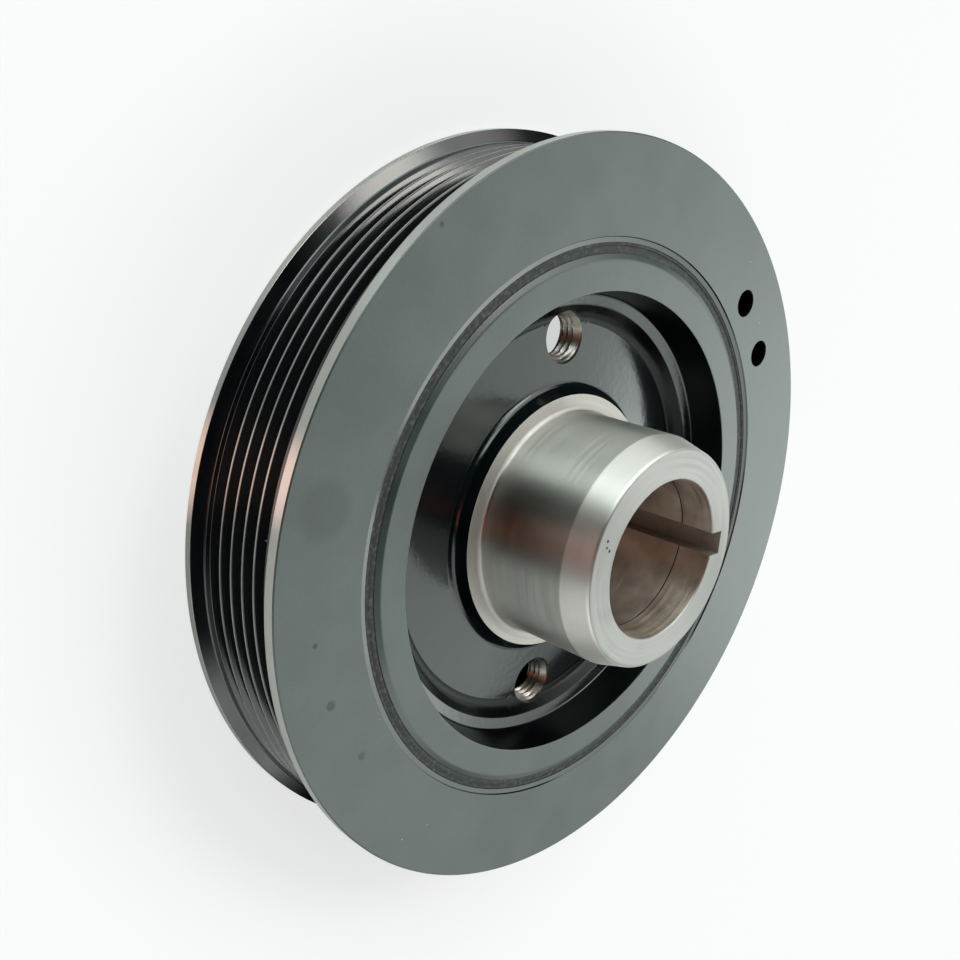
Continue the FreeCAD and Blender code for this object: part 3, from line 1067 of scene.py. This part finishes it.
def add_node(tree: bpy.types.NodeTree, kind: str, inputs: "dict | tuple" = (),
             **settings: object) -> bpy.types.Node:
    """Adds a node with its settings, values and links.

    Args:
        tree: the material's or world's node tree.
        kind: the node's type, without the leading ShaderNode.
        inputs: values or other nodes' output sockets, in the order of the node's inputs or by
            their names or numbers. A Map Range takes its value, the old range and the new one.
        settings: the node's own settings by name.

    Returns:
        The node.
    """
    node = tree.nodes.new(f"ShaderNode{kind}")
    for name, value in settings.items():
        setattr(node, name, value)
    for name, value in inputs.items() if isinstance(inputs, dict) else enumerate(inputs):
        if isinstance(value, bpy.types.NodeSocket):
            tree.links.new(value, node.inputs[name])
        else:
            node.inputs[name].default_value = value
    return node


def new_material(name: str) -> tuple[bpy.types.Material, bpy.types.NodeTree, bpy.types.NodeSocket]:
    """Starts a material.

    Args:
        name: the material's name.

    Returns:
        The material, its node tree, emptied, and the object's coordinates.
    """
    material = bpy.data.materials.new(name)
    material.use_nodes = True
    tree = material.node_tree
    tree.nodes.clear()
    return material, tree, add_node(tree, "TexCoord").outputs["Object"]


def blobs(place: bpy.types.NodeSocket, size_mm: float, detail: float) -> dict[str, object]:
    """Inputs of a noise whose blobs are about size_mm across."""
    return {"Vector": place, "Scale": 1.0 / (size_mm * MM), "Detail": detail}


def specks(tree: bpy.types.NodeTree, place: bpy.types.NodeSocket, spacing_mm: float,
           radius_mm: float, share: float) -> bpy.types.NodeSocket:
    """Small round specks, one at most in each cell of the given spacing.

    Args:
        tree: the material's tree.
        place: the object's coordinates.
        spacing_mm: size of the cells.
        radius_mm: radius of a speck.
        share: share of the cells that have one.

    Returns:
        A value that is 1 in the middle of a speck and 0 outside.
    """
    cells = add_node(tree, "TexVoronoi", {"Vector": place, "Scale": 1.0 / (spacing_mm * MM)}).outputs
    spot = add_node(tree, "MapRange", (cells["Distance"], 0.0, radius_mm / spacing_mm, 1.0, 0.0)).outputs[0]
    chance = add_node(tree, "SeparateColor", (cells["Color"],)).outputs[0]
    chosen = add_node(tree, "Math", (chance, share), operation="LESS_THAN").outputs[0]
    return add_node(tree, "Math", (spot, chosen), operation="MULTIPLY").outputs[0]


def turning_place(tree: bpy.types.NodeTree, place: bpy.types.NodeSocket,
                  stretch_mm: float) -> bpy.types.NodeSocket:
    """Coordinates in which noise becomes lines round the axis.

    They are the distance from the axis, the angle times a short length, and the height, so a
    blob of noise is drawn out along the turning marks.

    Args:
        tree: the material's tree.
        place: the object's coordinates.
        stretch_mm: length of pattern for each radian round the axis.

    Returns:
        The coordinates.
    """
    parts = add_node(tree, "SeparateXYZ", (place,)).outputs
    flat = add_node(tree, "CombineXYZ", (parts[0], parts[1], 0.0)).outputs[0]
    radius = add_node(tree, "VectorMath", (flat,), operation="LENGTH").outputs["Value"]
    angle = add_node(tree, "Math", (parts[1], parts[0]), operation="ARCTAN2").outputs[0]
    along = add_node(tree, "Math", (angle, stretch_mm * MM), operation="MULTIPLY").outputs[0]
    return add_node(tree, "CombineXYZ", (radius, along, parts[2])).outputs[0]


@dataclass(frozen=True)
class Smudge:
    """A round mark on a level face.

    Attributes:
        radius: distance of its middle from the axis.
        bearing: angle of its middle from the keyway, in degrees.
        width: width across it.
        strength: how much it adds in its middle.
        solid: share of its width at which it starts to fade, which ends at half its width.
    """

    radius: float
    bearing: float
    width: float
    strength: float
    solid: float = 0.35

    def mark(self, tree: bpy.types.NodeTree, place: bpy.types.NodeSocket, height: float) -> bpy.types.NodeSocket:
        """Marks a material.

        Args:
            tree: the material's tree.
            place: the object's coordinates.
            height: height of the face.

        Returns:
            The strength in its middle, fading to 0 at its edge by the distance from its middle.
        """
        angle, width = math.radians(self.bearing), self.width * MM
        middle = [self.radius * math.cos(angle) * MM, self.radius * math.sin(angle) * MM, height * MM]
        distance = add_node(tree, "VectorMath", (place, middle), operation="DISTANCE").outputs["Value"]
        fade = (distance, width * self.solid, width * 0.5, self.strength, 0.0)
        return add_node(tree, "MapRange", fade).outputs[0]


@dataclass(frozen=True)
class Enamel:
    """Black stoving enamel sprayed on iron: nearly black below a clear, hard gloss.

    The film levels out over turned iron and keeps a faint orange peel over the casting. A thin
    haze of dust and polish clouds it, and a few specks of dust lie on it. Real lint and feed
    marks are too fine for the render, so both are drawn two or three times as coarse.

    Attributes:
        name: the material's name.
        colour: the film's own colour.
        haze: colour of the haze.
        roughness: lowest and highest roughness of the film.
        peel_mm: size of the orange peel's blobs.
        peel_depth_mm: depth of the orange peel.
        line_mm: spacing of the turning lines that show through the film, or 0 for none.
        line_depth_mm: depth of those lines.
        ior: refractive index of the film.
        smudges: marks on the front face, which add to the roughness.
        smudge_colour: what they darken the film to.
        dust: colour of the specks.
        CLOUD_MM, FINE_MM: sizes of the haze's clouds and of the fine mottle in them.
        FINE_SHARE: how much the mottle counts beside the clouds.
        HAZE_RANGE, GLOSS_RANGE: values of the clouds between which haze and roughness change.
        DUST_SPACING_MM, DUST_RADIUS_MM, DUST_SHARE: cells of the specks, their radius, and the
            share of the cells that have one.
        DARKENING: share of the smudge's colour for each unit of its roughness.
        LINE_STRETCH_MM: pattern of the turning lines for each radian.
    """

    name: str
    colour: str
    haze: str
    roughness: tuple[float, float]
    peel_mm: float
    peel_depth_mm: float
    line_mm: float = 0.0
    line_depth_mm: float = 0.0
    ior: float = 1.6
    smudges: tuple[Smudge, ...] = ()
    smudge_colour: str = "#0B0D0D"
    dust: str = "#A9ADAB"

    CLOUD_MM: ClassVar[float] = 11.0
    FINE_MM: ClassVar[float] = 0.4
    FINE_SHARE: ClassVar[float] = 0.5
    HAZE_RANGE: ClassVar[tuple[float, float]] = (0.5, 1.0)
    GLOSS_RANGE: ClassVar[tuple[float, float]] = (0.25, 0.75)
    DUST_SPACING_MM: ClassVar[float] = 7.0
    DUST_RADIUS_MM: ClassVar[float] = 0.22
    DUST_SHARE: ClassVar[float] = 0.3
    DARKENING: ClassVar[float] = 4.0
    LINE_STRETCH_MM: ClassVar[float] = 1.0

    def material(self) -> bpy.types.Material:
        """Makes the material.

        Returns:
            The material.
        """
        material, tree, place = new_material(self.name)
        cloud = add_node(tree, "TexNoise", blobs(place, self.CLOUD_MM, 1.0)).outputs[0]
        mottle = add_node(tree, "TexNoise", blobs(place, self.FINE_MM, 2.0)).outputs[0]
        mottle = add_node(tree, "Math", (mottle, self.FINE_SHARE), operation="MULTIPLY").outputs[0]
        hazed = add_node(tree, "Math", (cloud, mottle), operation="ADD").outputs[0]
        hazed = add_node(tree, "MapRange", (hazed, *self.HAZE_RANGE, 0.0, 1.0)).outputs[0]
        dusty = specks(tree, place, self.DUST_SPACING_MM, self.DUST_RADIUS_MM, self.DUST_SHARE)
        roughness = add_node(tree, "MapRange", (cloud, *self.GLOSS_RANGE, *self.roughness)).outputs[0]
        layers = [(hazed, self.haze), (dusty, self.dust)]
        for smudge in self.smudges:
            mark = smudge.mark(tree, place, PulleyRing.height)
            roughness = add_node(tree, "Math", (roughness, mark), operation="ADD").outputs[0]
            darker = add_node(tree, "Math", (mark, self.DARKENING), operation="MULTIPLY").outputs[0]
            layers.append((darker, self.smudge_colour))
        colour = linear(self.colour)
        for share, layer in layers:
            colour = add_node(tree, "Mix", {0: share, 6: colour, 7: linear(layer)}, data_type="RGBA").outputs[2]
        reliefs = [(blobs(place, self.peel_mm, 1.0), self.peel_depth_mm)]
        if self.line_mm:
            turning = turning_place(tree, place, self.LINE_STRETCH_MM)
            reliefs.append((blobs(turning, self.line_mm, 1.0), self.line_depth_mm))
        shading = {"Base Color": colour, "Roughness": roughness, "IOR": self.ior}
        for relief, depth in reliefs:
            height = add_node(tree, "TexNoise", relief).outputs[0]
            inputs = {"Height": height, "Distance": depth * MM, "Strength": 1.0}
            if "Normal" in shading:
                inputs["Normal"] = shading["Normal"]
            shading["Normal"] = add_node(tree, "Bump", inputs).outputs[0]
        shader = add_node(tree, "BsdfPrincipled", shading)
        add_node(tree, "OutputMaterial", {"Surface": shader.outputs[0]})
        return material


@dataclass(frozen=True)
class CutMetal:
    """Iron or steel cut by a tool or a wheel: bare grey metal with fine marks round the axis.

    The marks spread a reflection across themselves, so highlights run along the axis on a
    cylinder and outwards on a flat face. Real feed marks are 0.05 to 0.2 mm apart, too fine for
    the render, so they are drawn 0.4 to 0.7 mm apart.

    Attributes:
        name: the material's name.
        colour: the bare metal.
        stain: colour of the thin oxide in its hollows and stains.
        stain_share: how much of the surface the stain takes, from 0 to 1.
        roughness: lowest and highest roughness.
        anisotropy: how far the marks spread reflections.
        line_mm: spacing of the marks that show.
        line_depth_mm: depth of those marks.
        pits: punched dots in the end of the snout.
        CLOUD_MM: size of the stains.
        STAIN_START, STAIN_SPREAD, STAIN_END: values of the cloud at which a stain starts, how
            much lower that is for a fully stained surface, and at which it is full.
        LINE_RANGE: values of the marks between which the roughness changes.
        LINE_STRETCH_MM: pattern of the marks for each radian.
        ACROSS: turn of the reflections' spread against the marks, in full turns.
    """

    name: str
    colour: str
    stain: str
    stain_share: float
    roughness: tuple[float, float]
    anisotropy: float
    line_mm: float
    line_depth_mm: float
    pits: tuple[Smudge, ...] = ()

    CLOUD_MM: ClassVar[float] = 9.0
    STAIN_START: ClassVar[float] = 0.62
    STAIN_SPREAD: ClassVar[float] = 0.3
    STAIN_END: ClassVar[float] = 0.75
    LINE_RANGE: ClassVar[tuple[float, float]] = (0.3, 0.7)
    LINE_STRETCH_MM: ClassVar[float] = 0.6
    ACROSS: ClassVar[float] = 0.25

    def material(self) -> bpy.types.Material:
        """Makes the material.

        Returns:
            The material.
        """
        material, tree, place = new_material(self.name)
        turning = turning_place(tree, place, self.LINE_STRETCH_MM)
        lines = add_node(tree, "TexNoise", blobs(turning, self.line_mm, 1.0)).outputs[0]
        cloud = add_node(tree, "TexNoise", blobs(place, self.CLOUD_MM, 4.0)).outputs[0]
        start = self.STAIN_START - self.STAIN_SPREAD * self.stain_share
        stained = add_node(tree, "MapRange", (cloud, start, self.STAIN_END, 0.0, self.stain_share)).outputs[0]
        for pit in self.pits:
            mark = pit.mark(tree, place, Hub.snout_end)
            stained = add_node(tree, "Math", (stained, mark), operation="MAXIMUM").outputs[0]
        metal = {0: stained, 6: linear(self.colour), 7: linear(self.stain)}
        colour = add_node(tree, "Mix", metal, data_type="RGBA").outputs[2]
        roughness = add_node(tree, "MapRange", (lines, *self.LINE_RANGE, *self.roughness)).outputs[0]
        relief = {"Height": lines, "Distance": self.line_depth_mm * MM, "Strength": 1.0}
        shader = add_node(tree, "BsdfPrincipled", {
            "Base Color": colour,
            "Metallic": 1.0,
            "Roughness": roughness,
            "Normal": add_node(tree, "Bump", relief).outputs[0],
            "Anisotropic": self.anisotropy,
            "Anisotropic Rotation": self.ACROSS,
            "Tangent": add_node(tree, "Tangent", direction_type="RADIAL", axis="Z").outputs[0],
        })
        add_node(tree, "OutputMaterial", {"Surface": shader.outputs[0]})
        return material


@dataclass(frozen=True)
class MouldedRubber:
    """Carbon-filled rubber, moulded in place: nearly black, matt and slightly grainy.

    Pale dust clings to it in fine patches, which lift it out of the black gap. The mould's grain
    of about 0.1 mm is too fine for the render, so it is drawn at 0.45 mm.

    Attributes:
        name: the material's name.
        colour: the rubber itself.
        dust: colour of the dust.
        dust_mm: size of the dust's patches.
        dust_range: values of their noise between which the dust thickens.
        dust_most: share of its colour where it is thickest.
        grain_mm: size of the grain.
        grain_depth_mm: depth of the grain.
        grain_range: values of its noise between which the roughness changes.
        roughness: lowest and highest roughness.
    """

    name: str = "carbon_filled_rubber_moulded"
    colour: str = "#121313"
    dust: str = "#5C5B57"
    dust_mm: float = 0.9
    dust_range: tuple[float, float] = (0.5, 0.75)
    dust_most: float = 0.6
    grain_mm: float = 0.45
    grain_depth_mm: float = 0.08
    grain_range: tuple[float, float] = (0.3, 0.7)
    roughness: tuple[float, float] = (0.5, 0.75)

    def material(self) -> bpy.types.Material:
        """Makes the material.

        Returns:
            The material.
        """
        material, tree, place = new_material(self.name)
        grain = add_node(tree, "TexNoise", blobs(place, self.grain_mm, 3.0)).outputs[0]
        patches = add_node(tree, "TexNoise", blobs(place, self.dust_mm, 3.0)).outputs[0]
        dusty = add_node(tree, "MapRange", (patches, *self.dust_range, 0.0, self.dust_most)).outputs[0]
        skin = {0: dusty, 6: linear(self.colour), 7: linear(self.dust)}
        relief = {"Height": grain, "Distance": self.grain_depth_mm * MM, "Strength": 1.0}
        shader = add_node(tree, "BsdfPrincipled", {
            "Base Color": add_node(tree, "Mix", skin, data_type="RGBA").outputs[2],
            "Roughness": add_node(tree, "MapRange", (grain, *self.grain_range, *self.roughness)).outputs[0],
            "Normal": add_node(tree, "Bump", relief).outputs[0],
        })
        add_node(tree, "OutputMaterial", {"Surface": shader.outputs[0]})
        return material


# A wide wiped mark and small wet spots on the front face.
FACE_SMUDGES = (
    Smudge(radius=72.3, bearing=166.2, width=12.5, strength=0.06),
    Smudge(radius=71.1, bearing=197.1, width=2.4, strength=0.14),
    Smudge(radius=69.2, bearing=209.6, width=2.0, strength=0.14),
    Smudge(radius=72.3, bearing=186.2, width=1.2, strength=0.2),
    Smudge(radius=79.4, bearing=126.3, width=1.2, strength=0.2),
)

# Three dots that were punched into the end of the snout.
PUNCHED_DOTS = (
    Smudge(radius=20.8, bearing=157.6, width=0.8, strength=1.0, solid=0.3),
    Smudge(radius=20.4, bearing=161.1, width=0.7, strength=1.0, solid=0.3),
    Smudge(radius=19.3, bearing=162.6, width=0.8, strength=1.0, solid=0.3),
)

# An enamel's numbers are its roughness, the size and depth of its orange peel, and the spacing
# and depth of the turning lines in it. A metal's are its share of stain, its roughness, its
# anisotropy, and the spacing and depth of its marks.
FINISHES = {
    # Sprayed thinly over a turned face: a satin black that mirrors pale light as a soft grey
    # sheen, with hints of the turning lines.
    Finish.FACE_ENAMEL: Enamel("black_enamel_over_turned_iron", "#262D2C", "#343C3A", (0.28, 0.32), 1.6, 0.0015,
                               0.5, 0.0008, smudges=FACE_SMUDGES),
    # Thick over the rough casting: wet gloss, with reflections that waver on the orange peel.
    Finish.CAST_ENAMEL: Enamel("black_enamel_over_cast_iron", "#04080A", "#0B1012", (0.12, 0.19), 1.4, 0.022,
                               ior=1.52),
    # Darker and duller than the casting's other enamel, as painted shade, so the recess wall and the ledge slope stay
    # deep black.
    Finish.HOLLOW_ENAMEL: Enamel("black_enamel_painted_shade_in_hollow", "#020304", "#06080A", (0.2, 0.26), 1.4, 0.022,
                                 ior=1.22),
    # Run together in the grooves: a hard gloss that draws thin bright lines along their walls.
    Finish.GROOVE_ENAMEL: Enamel("black_enamel_over_belt_grooves", "#050608", "#0B0C0E", (0.1, 0.17), 1.8, 0.004,
                                 0.3, 0.001),
    # Turned bright on the flanges: a long highlight across a pale, slightly warm band.
    Finish.TURNED_LAND: CutMetal("cast_iron_turned", "#ABABA8", "#8F847D", 0.35, (0.28, 0.33), 0.85, 0.4, 0.0008),
    # Rubbed bare by the belt: duller and browner than the lands, so the ribs read as thin lines.
    Finish.RIB_CREST: CutMetal("cast_iron_rib_crest_turned", "#9B9C9B", "#6A6561", 0.5, (0.3, 0.38), 0.8,
                               0.4, 0.0008),
    # Ground for the seal: the brightest metal, with smooth bands of light along the axis.
    Finish.GROUND_SNOUT: CutMetal("steel_ground", "#B2B0AB", "#A19A93", 0.4, (0.36, 0.42), 0.93, 0.5, 0.0005),
    # Turned taper: softer and paler than the ground part, so its edge shows.
    Finish.TURNED_TAPER: CutMetal("steel_taper_turned", "#BDB9B5", "#A39C96", 0.35, (0.46, 0.52), 0.8, 0.5, 0.0006),
    # Faced end of the snout: even grey, with the dark punched dots.
    Finish.FINE_TURNED: CutMetal("steel_fine_turned", "#989492", "#34302C", 0.12, (0.46, 0.54), 0.5, 0.5, 0.0006,
                                 pits=PUNCHED_DOTS),
    # Faced boss: a matt, warm ring that is light from every side.
    Finish.TURNED_BOSS: CutMetal("steel_boss_turned", "#B4AEAA", "#8C7F78", 0.3, (0.54, 0.62), 0.3, 0.5, 0.0008),
    # Bored and lightly rusted: a warm, blotchy metal with visible marks. Its pale colour is partly painted light,
    # standing in for the light that comes in through the open bore.
    Finish.BORED: CutMetal("steel_bored_pale_painted_light", "#D4C4B8", "#77655A", 0.8, (0.38, 0.5), 0.6, 0.7, 0.003),
    # Broached along the axis: plain satin sides without a spread highlight.
    Finish.BROACHED: CutMetal("steel_broached", "#B4ACA6", "#7F746B", 0.4, (0.45, 0.55), 0.0, 0.6, 0.003),
    # Cut thread: sharp glints on the crests, brown in the roots.
    Finish.CUT_THREAD: CutMetal("cast_iron_tapped", "#A8A39D", "#6B5A50", 0.5, (0.28, 0.4), 0.0, 0.4, 0.01),
    # Drilled walls darkened nearly to black as painted shade, so the holes and the score line read as black.
    Finish.DRILLED: CutMetal("cast_iron_drilled_painted_shade", "#1A1817", "#0C0B0A", 0.6, (0.4, 0.6), 0.0, 0.4, 0.02),
    Finish.MOULDED_RUBBER: MouldedRubber(),
}


class FinishTable:
    """Materials by finish, each made when it is first asked for."""

    def __init__(self) -> None:
        """Starts with no material."""
        self._made: dict[Finish, bpy.types.Material] = {}

    def material(self, finish: Finish) -> bpy.types.Material:
        """Gives the material of one finish.

        Args:
            finish: the finish.

        Returns:
            Its material, the same one each time.
        """
        if finish not in self._made:
            self._made[finish] = FINISHES[finish].material()
        return self._made[finish]


# Studio


@dataclass(frozen=True)
class Glow:
    """A soft-edged field of light in the studio's surround.

    Attributes:
        bearing: middle of the field, in degrees from the keyway.
        elevation: height of its middle, in degrees.
        half_width: half its width, in degrees.
        half_height: half its height, in degrees.
        brightness: radiance, where 1 is white.
        colour: its colour.
        edge: half the width of its soft edge, in degrees.
    """

    bearing: float
    elevation: float
    half_width: float
    half_height: float
    brightness: float
    colour: str
    edge: float

    def share(self, tree: bpy.types.NodeTree, place: bpy.types.NodeSocket) -> bpy.types.NodeSocket:
        """How much of the field lies in a direction.

        The distances from the field's middle, in bearing and in elevation, each fade out over
        the soft edge. The share is the product of both.

        Args:
            tree: the world's tree.
            place: bearing and elevation of the direction, in degrees.

        Returns:
            A value from 0 to 1.
        """
        middle = (Studio.unwrapped(self.bearing), self.elevation, 0.0)
        offset = add_node(tree, "VectorMath", (place, middle), operation="SUBTRACT").outputs[0]
        distance = add_node(tree, "VectorMath", (offset,), operation="ABSOLUTE").outputs[0]
        reach = np.array([self.half_width, self.half_height, 0.0])
        inputs = {6: distance, 7: (reach - self.edge).tolist(), 8: (reach + self.edge).tolist(),
                  9: (1.0, 1.0, 1.0), 10: (0.0, 0.0, 0.0)}
        faded = add_node(tree, "MapRange", inputs, data_type="FLOAT_VECTOR", interpolation_type="SMOOTHSTEP")
        parts = add_node(tree, "SeparateXYZ", (faded.outputs["Vector"],)).outputs
        return add_node(tree, "Math", (parts[0], parts[1]), operation="MULTIPLY").outputs[0]


@dataclass
class Studio:
    """Pale floor, soft fields of light in a dark room, and the camera.

    Attributes:
        floor_half_width: half the floor's width, in metres.
        floor_colour: colour of the floor's paper.
        camera_white: how far the camera sees the floor lifted towards white.
        white: that white, which is also what the camera sees behind the floor.
        dark_room: colour of the surround between the fields of light.
        painted_reflection_bearing: direction of a wedge of floor that glows only in reflections, in degrees.
        painted_reflection_half_width: half its width, in degrees.
        painted_reflection_edge: how far outside and inside of that width its glow fades, in degrees.
        painted_reflection_light: its colour and brightness.
        glows: the fields of light.
        SEAM: bearing from which all bearings are counted; it lies in a dark stretch.
    """

    floor_half_width: float = 3.0
    floor_colour: str = "#E0DDDE"
    camera_white: float = 0.64
    white: str = "#FCFDFD"
    dark_room: str = "#0E0D0C"
    painted_reflection_bearing: float = 166.0
    painted_reflection_half_width: float = 4.5
    painted_reflection_edge: tuple[float, float] = (4.0, 2.0)
    painted_reflection_light: tuple[str, float] = ("#FFCDB8", 1.3)
    glows: tuple[Glow, ...] = (
        Glow(-55.0, 45.0, 28.0, 12.0, 2.5, "#F3FFFB", 3.0),
        Glow(-7.0, 40.0, 20.0, 14.0, 2.3, "#F3FFFB", 3.0),
        Glow(-18.0, 28.5, 12.0, 5.0, 2.2, "#F5FFFB", 3.0),
        Glow(-8.0, 14.0, 19.0, 10.0, 1.9, "#F5FFFC", 4.0),
        Glow(-44.0, 18.0, 17.0, 13.0, 1.1, "#F0FAF8", 4.0),
        Glow(29.0, 43.5, 14.0, 10.5, 2.3, "#FDFDFB", 3.0),
        Glow(-90.0, 44.0, 9.0, 11.0, 1.9, "#F0FAF8", 5.0),
        Glow(86.0, 18.0, 42.0, 34.0, 2.9, "#F0FFF9", 5.0),
        Glow(50.0, 55.0, 9.5, 8.5, 8.0, "#FFFAF2", 3.0),
        Glow(74.0, 50.5, 17.0, 6.5, 5.0, "#F2FAFF", 4.0),
        Glow(114.0, 18.0, 11.0, 26.0, 2.8, "#EEFFFD", 4.0),
        Glow(-126.0, 16.0, 30.0, 34.0, 2.0, "#F0F8F4", 8.0),
        Glow(176.0, 12.0, 14.0, 22.0, 0.4, "#E08A62", 8.0),
        Glow(-176.0, 37.0, 7.0, 12.0, 1.6, "#E0835A", 5.0),
    )

    SEAM: ClassVar[float] = -210.0

    @classmethod
    def unwrapped(cls, bearing: float) -> float:
        """The same bearing within one turn from the seam on."""
        return (bearing - cls.SEAM) % 360.0 + cls.SEAM

    def build(self) -> None:
        """Builds the floor, the surround and the camera."""
        self.floor()
        self.world()
        PhotoCamera().build()

    def floor(self) -> None:
        """Lays a sheet of matt pale paper, which gives a soft, plain shadow.

        The camera sees it lifted towards white. Metal that mirrors it also sees a painted
        reflection: a wedge of the floor that glows warm only for glossy rays, found by the cosine
        of the angle between a point's direction from the axis and the wedge's.
        """
        half = self.floor_half_width
        mesh = bpy.data.meshes.new("studio_floor")
        mesh.from_pydata([(-half, -half, 0), (half, -half, 0), (half, half, 0), (-half, half, 0)], [], [(0, 1, 2, 3)])
        floor = bpy.data.objects.new("studio_floor", mesh)
        bpy.context.scene.collection.objects.link(floor)
        material, tree, place = new_material("matt_paper_floor")
        path = add_node(tree, "LightPath").outputs
        paper = add_node(tree, "BsdfDiffuse", {"Color": linear(self.floor_colour)}).outputs[0]
        white = add_node(tree, "Emission", {"Color": linear(self.white), "Strength": 1.0}).outputs[0]
        seen = add_node(tree, "Math", (path["Is Camera Ray"], self.camera_white), operation="MULTIPLY").outputs[0]
        sheet = add_node(tree, "MixShader", (seen, paper, white)).outputs[0]
        # Painted reflection: a wedge of the floor glows warm, and only glossy rays see it.
        angle, (outside, inside) = math.radians(self.painted_reflection_bearing), self.painted_reflection_edge
        towards = (math.cos(angle), math.sin(angle), 0.0)
        level = add_node(tree, "VectorMath", (place,), operation="NORMALIZE").outputs[0]
        cosine = add_node(tree, "VectorMath", (level, towards), operation="DOT_PRODUCT").outputs["Value"]
        dark = math.cos(math.radians(self.painted_reflection_half_width + outside))
        full = math.cos(math.radians(self.painted_reflection_half_width - inside))
        tint, brightness = self.painted_reflection_light
        painted_reflection = add_node(tree, "MapRange", (cosine, dark, full, 0.0, brightness)).outputs[0]
        painted_reflection = add_node(tree, "Math", (painted_reflection, path["Is Glossy Ray"]), operation="MULTIPLY").outputs[0]
        glow = add_node(tree, "Emission", {"Color": linear(tint), "Strength": painted_reflection}).outputs[0]
        shader = add_node(tree, "AddShader", (sheet, glow)).outputs[0]
        add_node(tree, "OutputMaterial", {"Surface": shader})
        mesh.materials.append(material)

    def world(self) -> None:
        """Lights the room by the sum of the fields of light; the camera sees plain white."""
        world = bpy.data.worlds.new("studio_surround")
        bpy.context.scene.world = world
        world.use_nodes = True
        tree = world.node_tree
        tree.nodes.clear()
        direction = add_node(tree, "TexCoord").outputs["Generated"]
        parts = add_node(tree, "SeparateXYZ", (direction,)).outputs
        rise = add_node(tree, "Math", (parts[2],), operation="ARCSINE").outputs[0]
        elevation = add_node(tree, "Math", (rise,), operation="DEGREES").outputs[0]
        turn = add_node(tree, "Math", (parts[1], parts[0]), operation="ARCTAN2").outputs[0]
        bearing = add_node(tree, "Math", (turn,), operation="DEGREES").outputs[0]
        bearing = add_node(tree, "Math", (bearing, self.SEAM + 360.0, self.SEAM), operation="WRAP").outputs[0]
        place = add_node(tree, "CombineXYZ", (bearing, elevation)).outputs[0]
        light = linear(self.dark_room)[:3]
        for glow in self.glows:
            colour = [value * glow.brightness for value in linear(glow.colour)[:3]]
            inputs = (glow.share(tree, place), colour, light)
            light = add_node(tree, "VectorMath", inputs, operation="MULTIPLY_ADD").outputs[0]
        path = add_node(tree, "LightPath").outputs
        room = add_node(tree, "Background", {"Color": light, "Strength": 1.0}).outputs[0]
        white = add_node(tree, "Background", {"Color": linear(self.white), "Strength": 1.0}).outputs[0]
        mixed = add_node(tree, "MixShader", (path["Is Camera Ray"], room, white)).outputs[0]
        add_node(tree, "OutputWorld", {"Surface": mixed})


@dataclass(frozen=True)
class PhotoCamera:
    """Camera at the photograph's viewing angle.

    It was fitted in a frame of its own, in camera axes (right, down, forward).

    Attributes:
        tilt: angle of the crankshaft axis against the line of sight, in degrees.
        roll: angle at which the axis points in the picture, in degrees.
        turn: angle of the keyway round the axis, in degrees.
        centre: middle of the ring's front face in camera axes.
        face: height of that face.
        lens: focal length.
        sensor: width of the sensor.
        shift: shift of the lens, in widths of the picture.
        nearest: least distance that is drawn, in metres.
    """

    tilt: float = 49.71
    roll: float = 23.27
    turn: float = 12.4
    centre: tuple[float, float, float] = (22.275, -8.780, 249.917)
    face: float = PulleyRing.height
    lens: float = 43.33
    sensor: float = 36.0
    shift: tuple[float, float] = (-0.00083, 0.09552)
    nearest: float = 0.01

    def axes(self) -> np.ndarray:
        """Turns the three angles into axes.

        Returns:
            The part's X, Y and Z axes as rows, in camera axes.
        """
        tilt, roll, turn = (math.radians(angle) for angle in (self.tilt, self.roll, self.turn))
        shaft = np.array([math.sin(tilt) * math.cos(roll), math.sin(tilt) * math.sin(roll), -math.cos(tilt)])
        side = np.cross([0.0, -1.0, 0.0], shaft)
        side /= np.linalg.norm(side)
        other = np.cross(shaft, side)
        keyed = math.cos(turn) * side + math.sin(turn) * other
        return np.array([keyed, np.cross(shaft, keyed), shaft])

    def build(self) -> None:
        """Places the camera and makes it the scene's."""
        axes = self.axes()
        place = -axes @ np.array(self.centre) + np.array([0.0, 0.0, self.face])
        data = bpy.data.cameras.new("photo_camera")
        data.lens, data.sensor_width = self.lens, self.sensor
        data.shift_x, data.shift_y = self.shift
        data.clip_start = self.nearest
        camera = bpy.data.objects.new("photo_camera", data)
        turned = Matrix(np.column_stack([axes[:, 0], -axes[:, 1], -axes[:, 2]]).tolist()).to_4x4()
        camera.matrix_world = Matrix.Translation(Vector(place * MM)) @ turned
        bpy.context.scene.collection.objects.link(camera)
        bpy.context.scene.camera = camera


def main() -> None:
    """Builds the part's pieces in order, then the studio."""
    logging.basicConfig(level=logging.INFO, format="%(name)s: %(message)s")
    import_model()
    finishes = FinishTable()
    for builder in (PulleyRing(), RubberRing(), Hub()):
        piece = builder.build(finishes)
        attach(piece, "root")
        LOG.info("%s: %d faces", piece.name, len(piece.data.polygons))
    Studio().build()
    bpy.context.scene.view_settings.view_transform = "Standard"


if __name__ == "__main__":
    main()
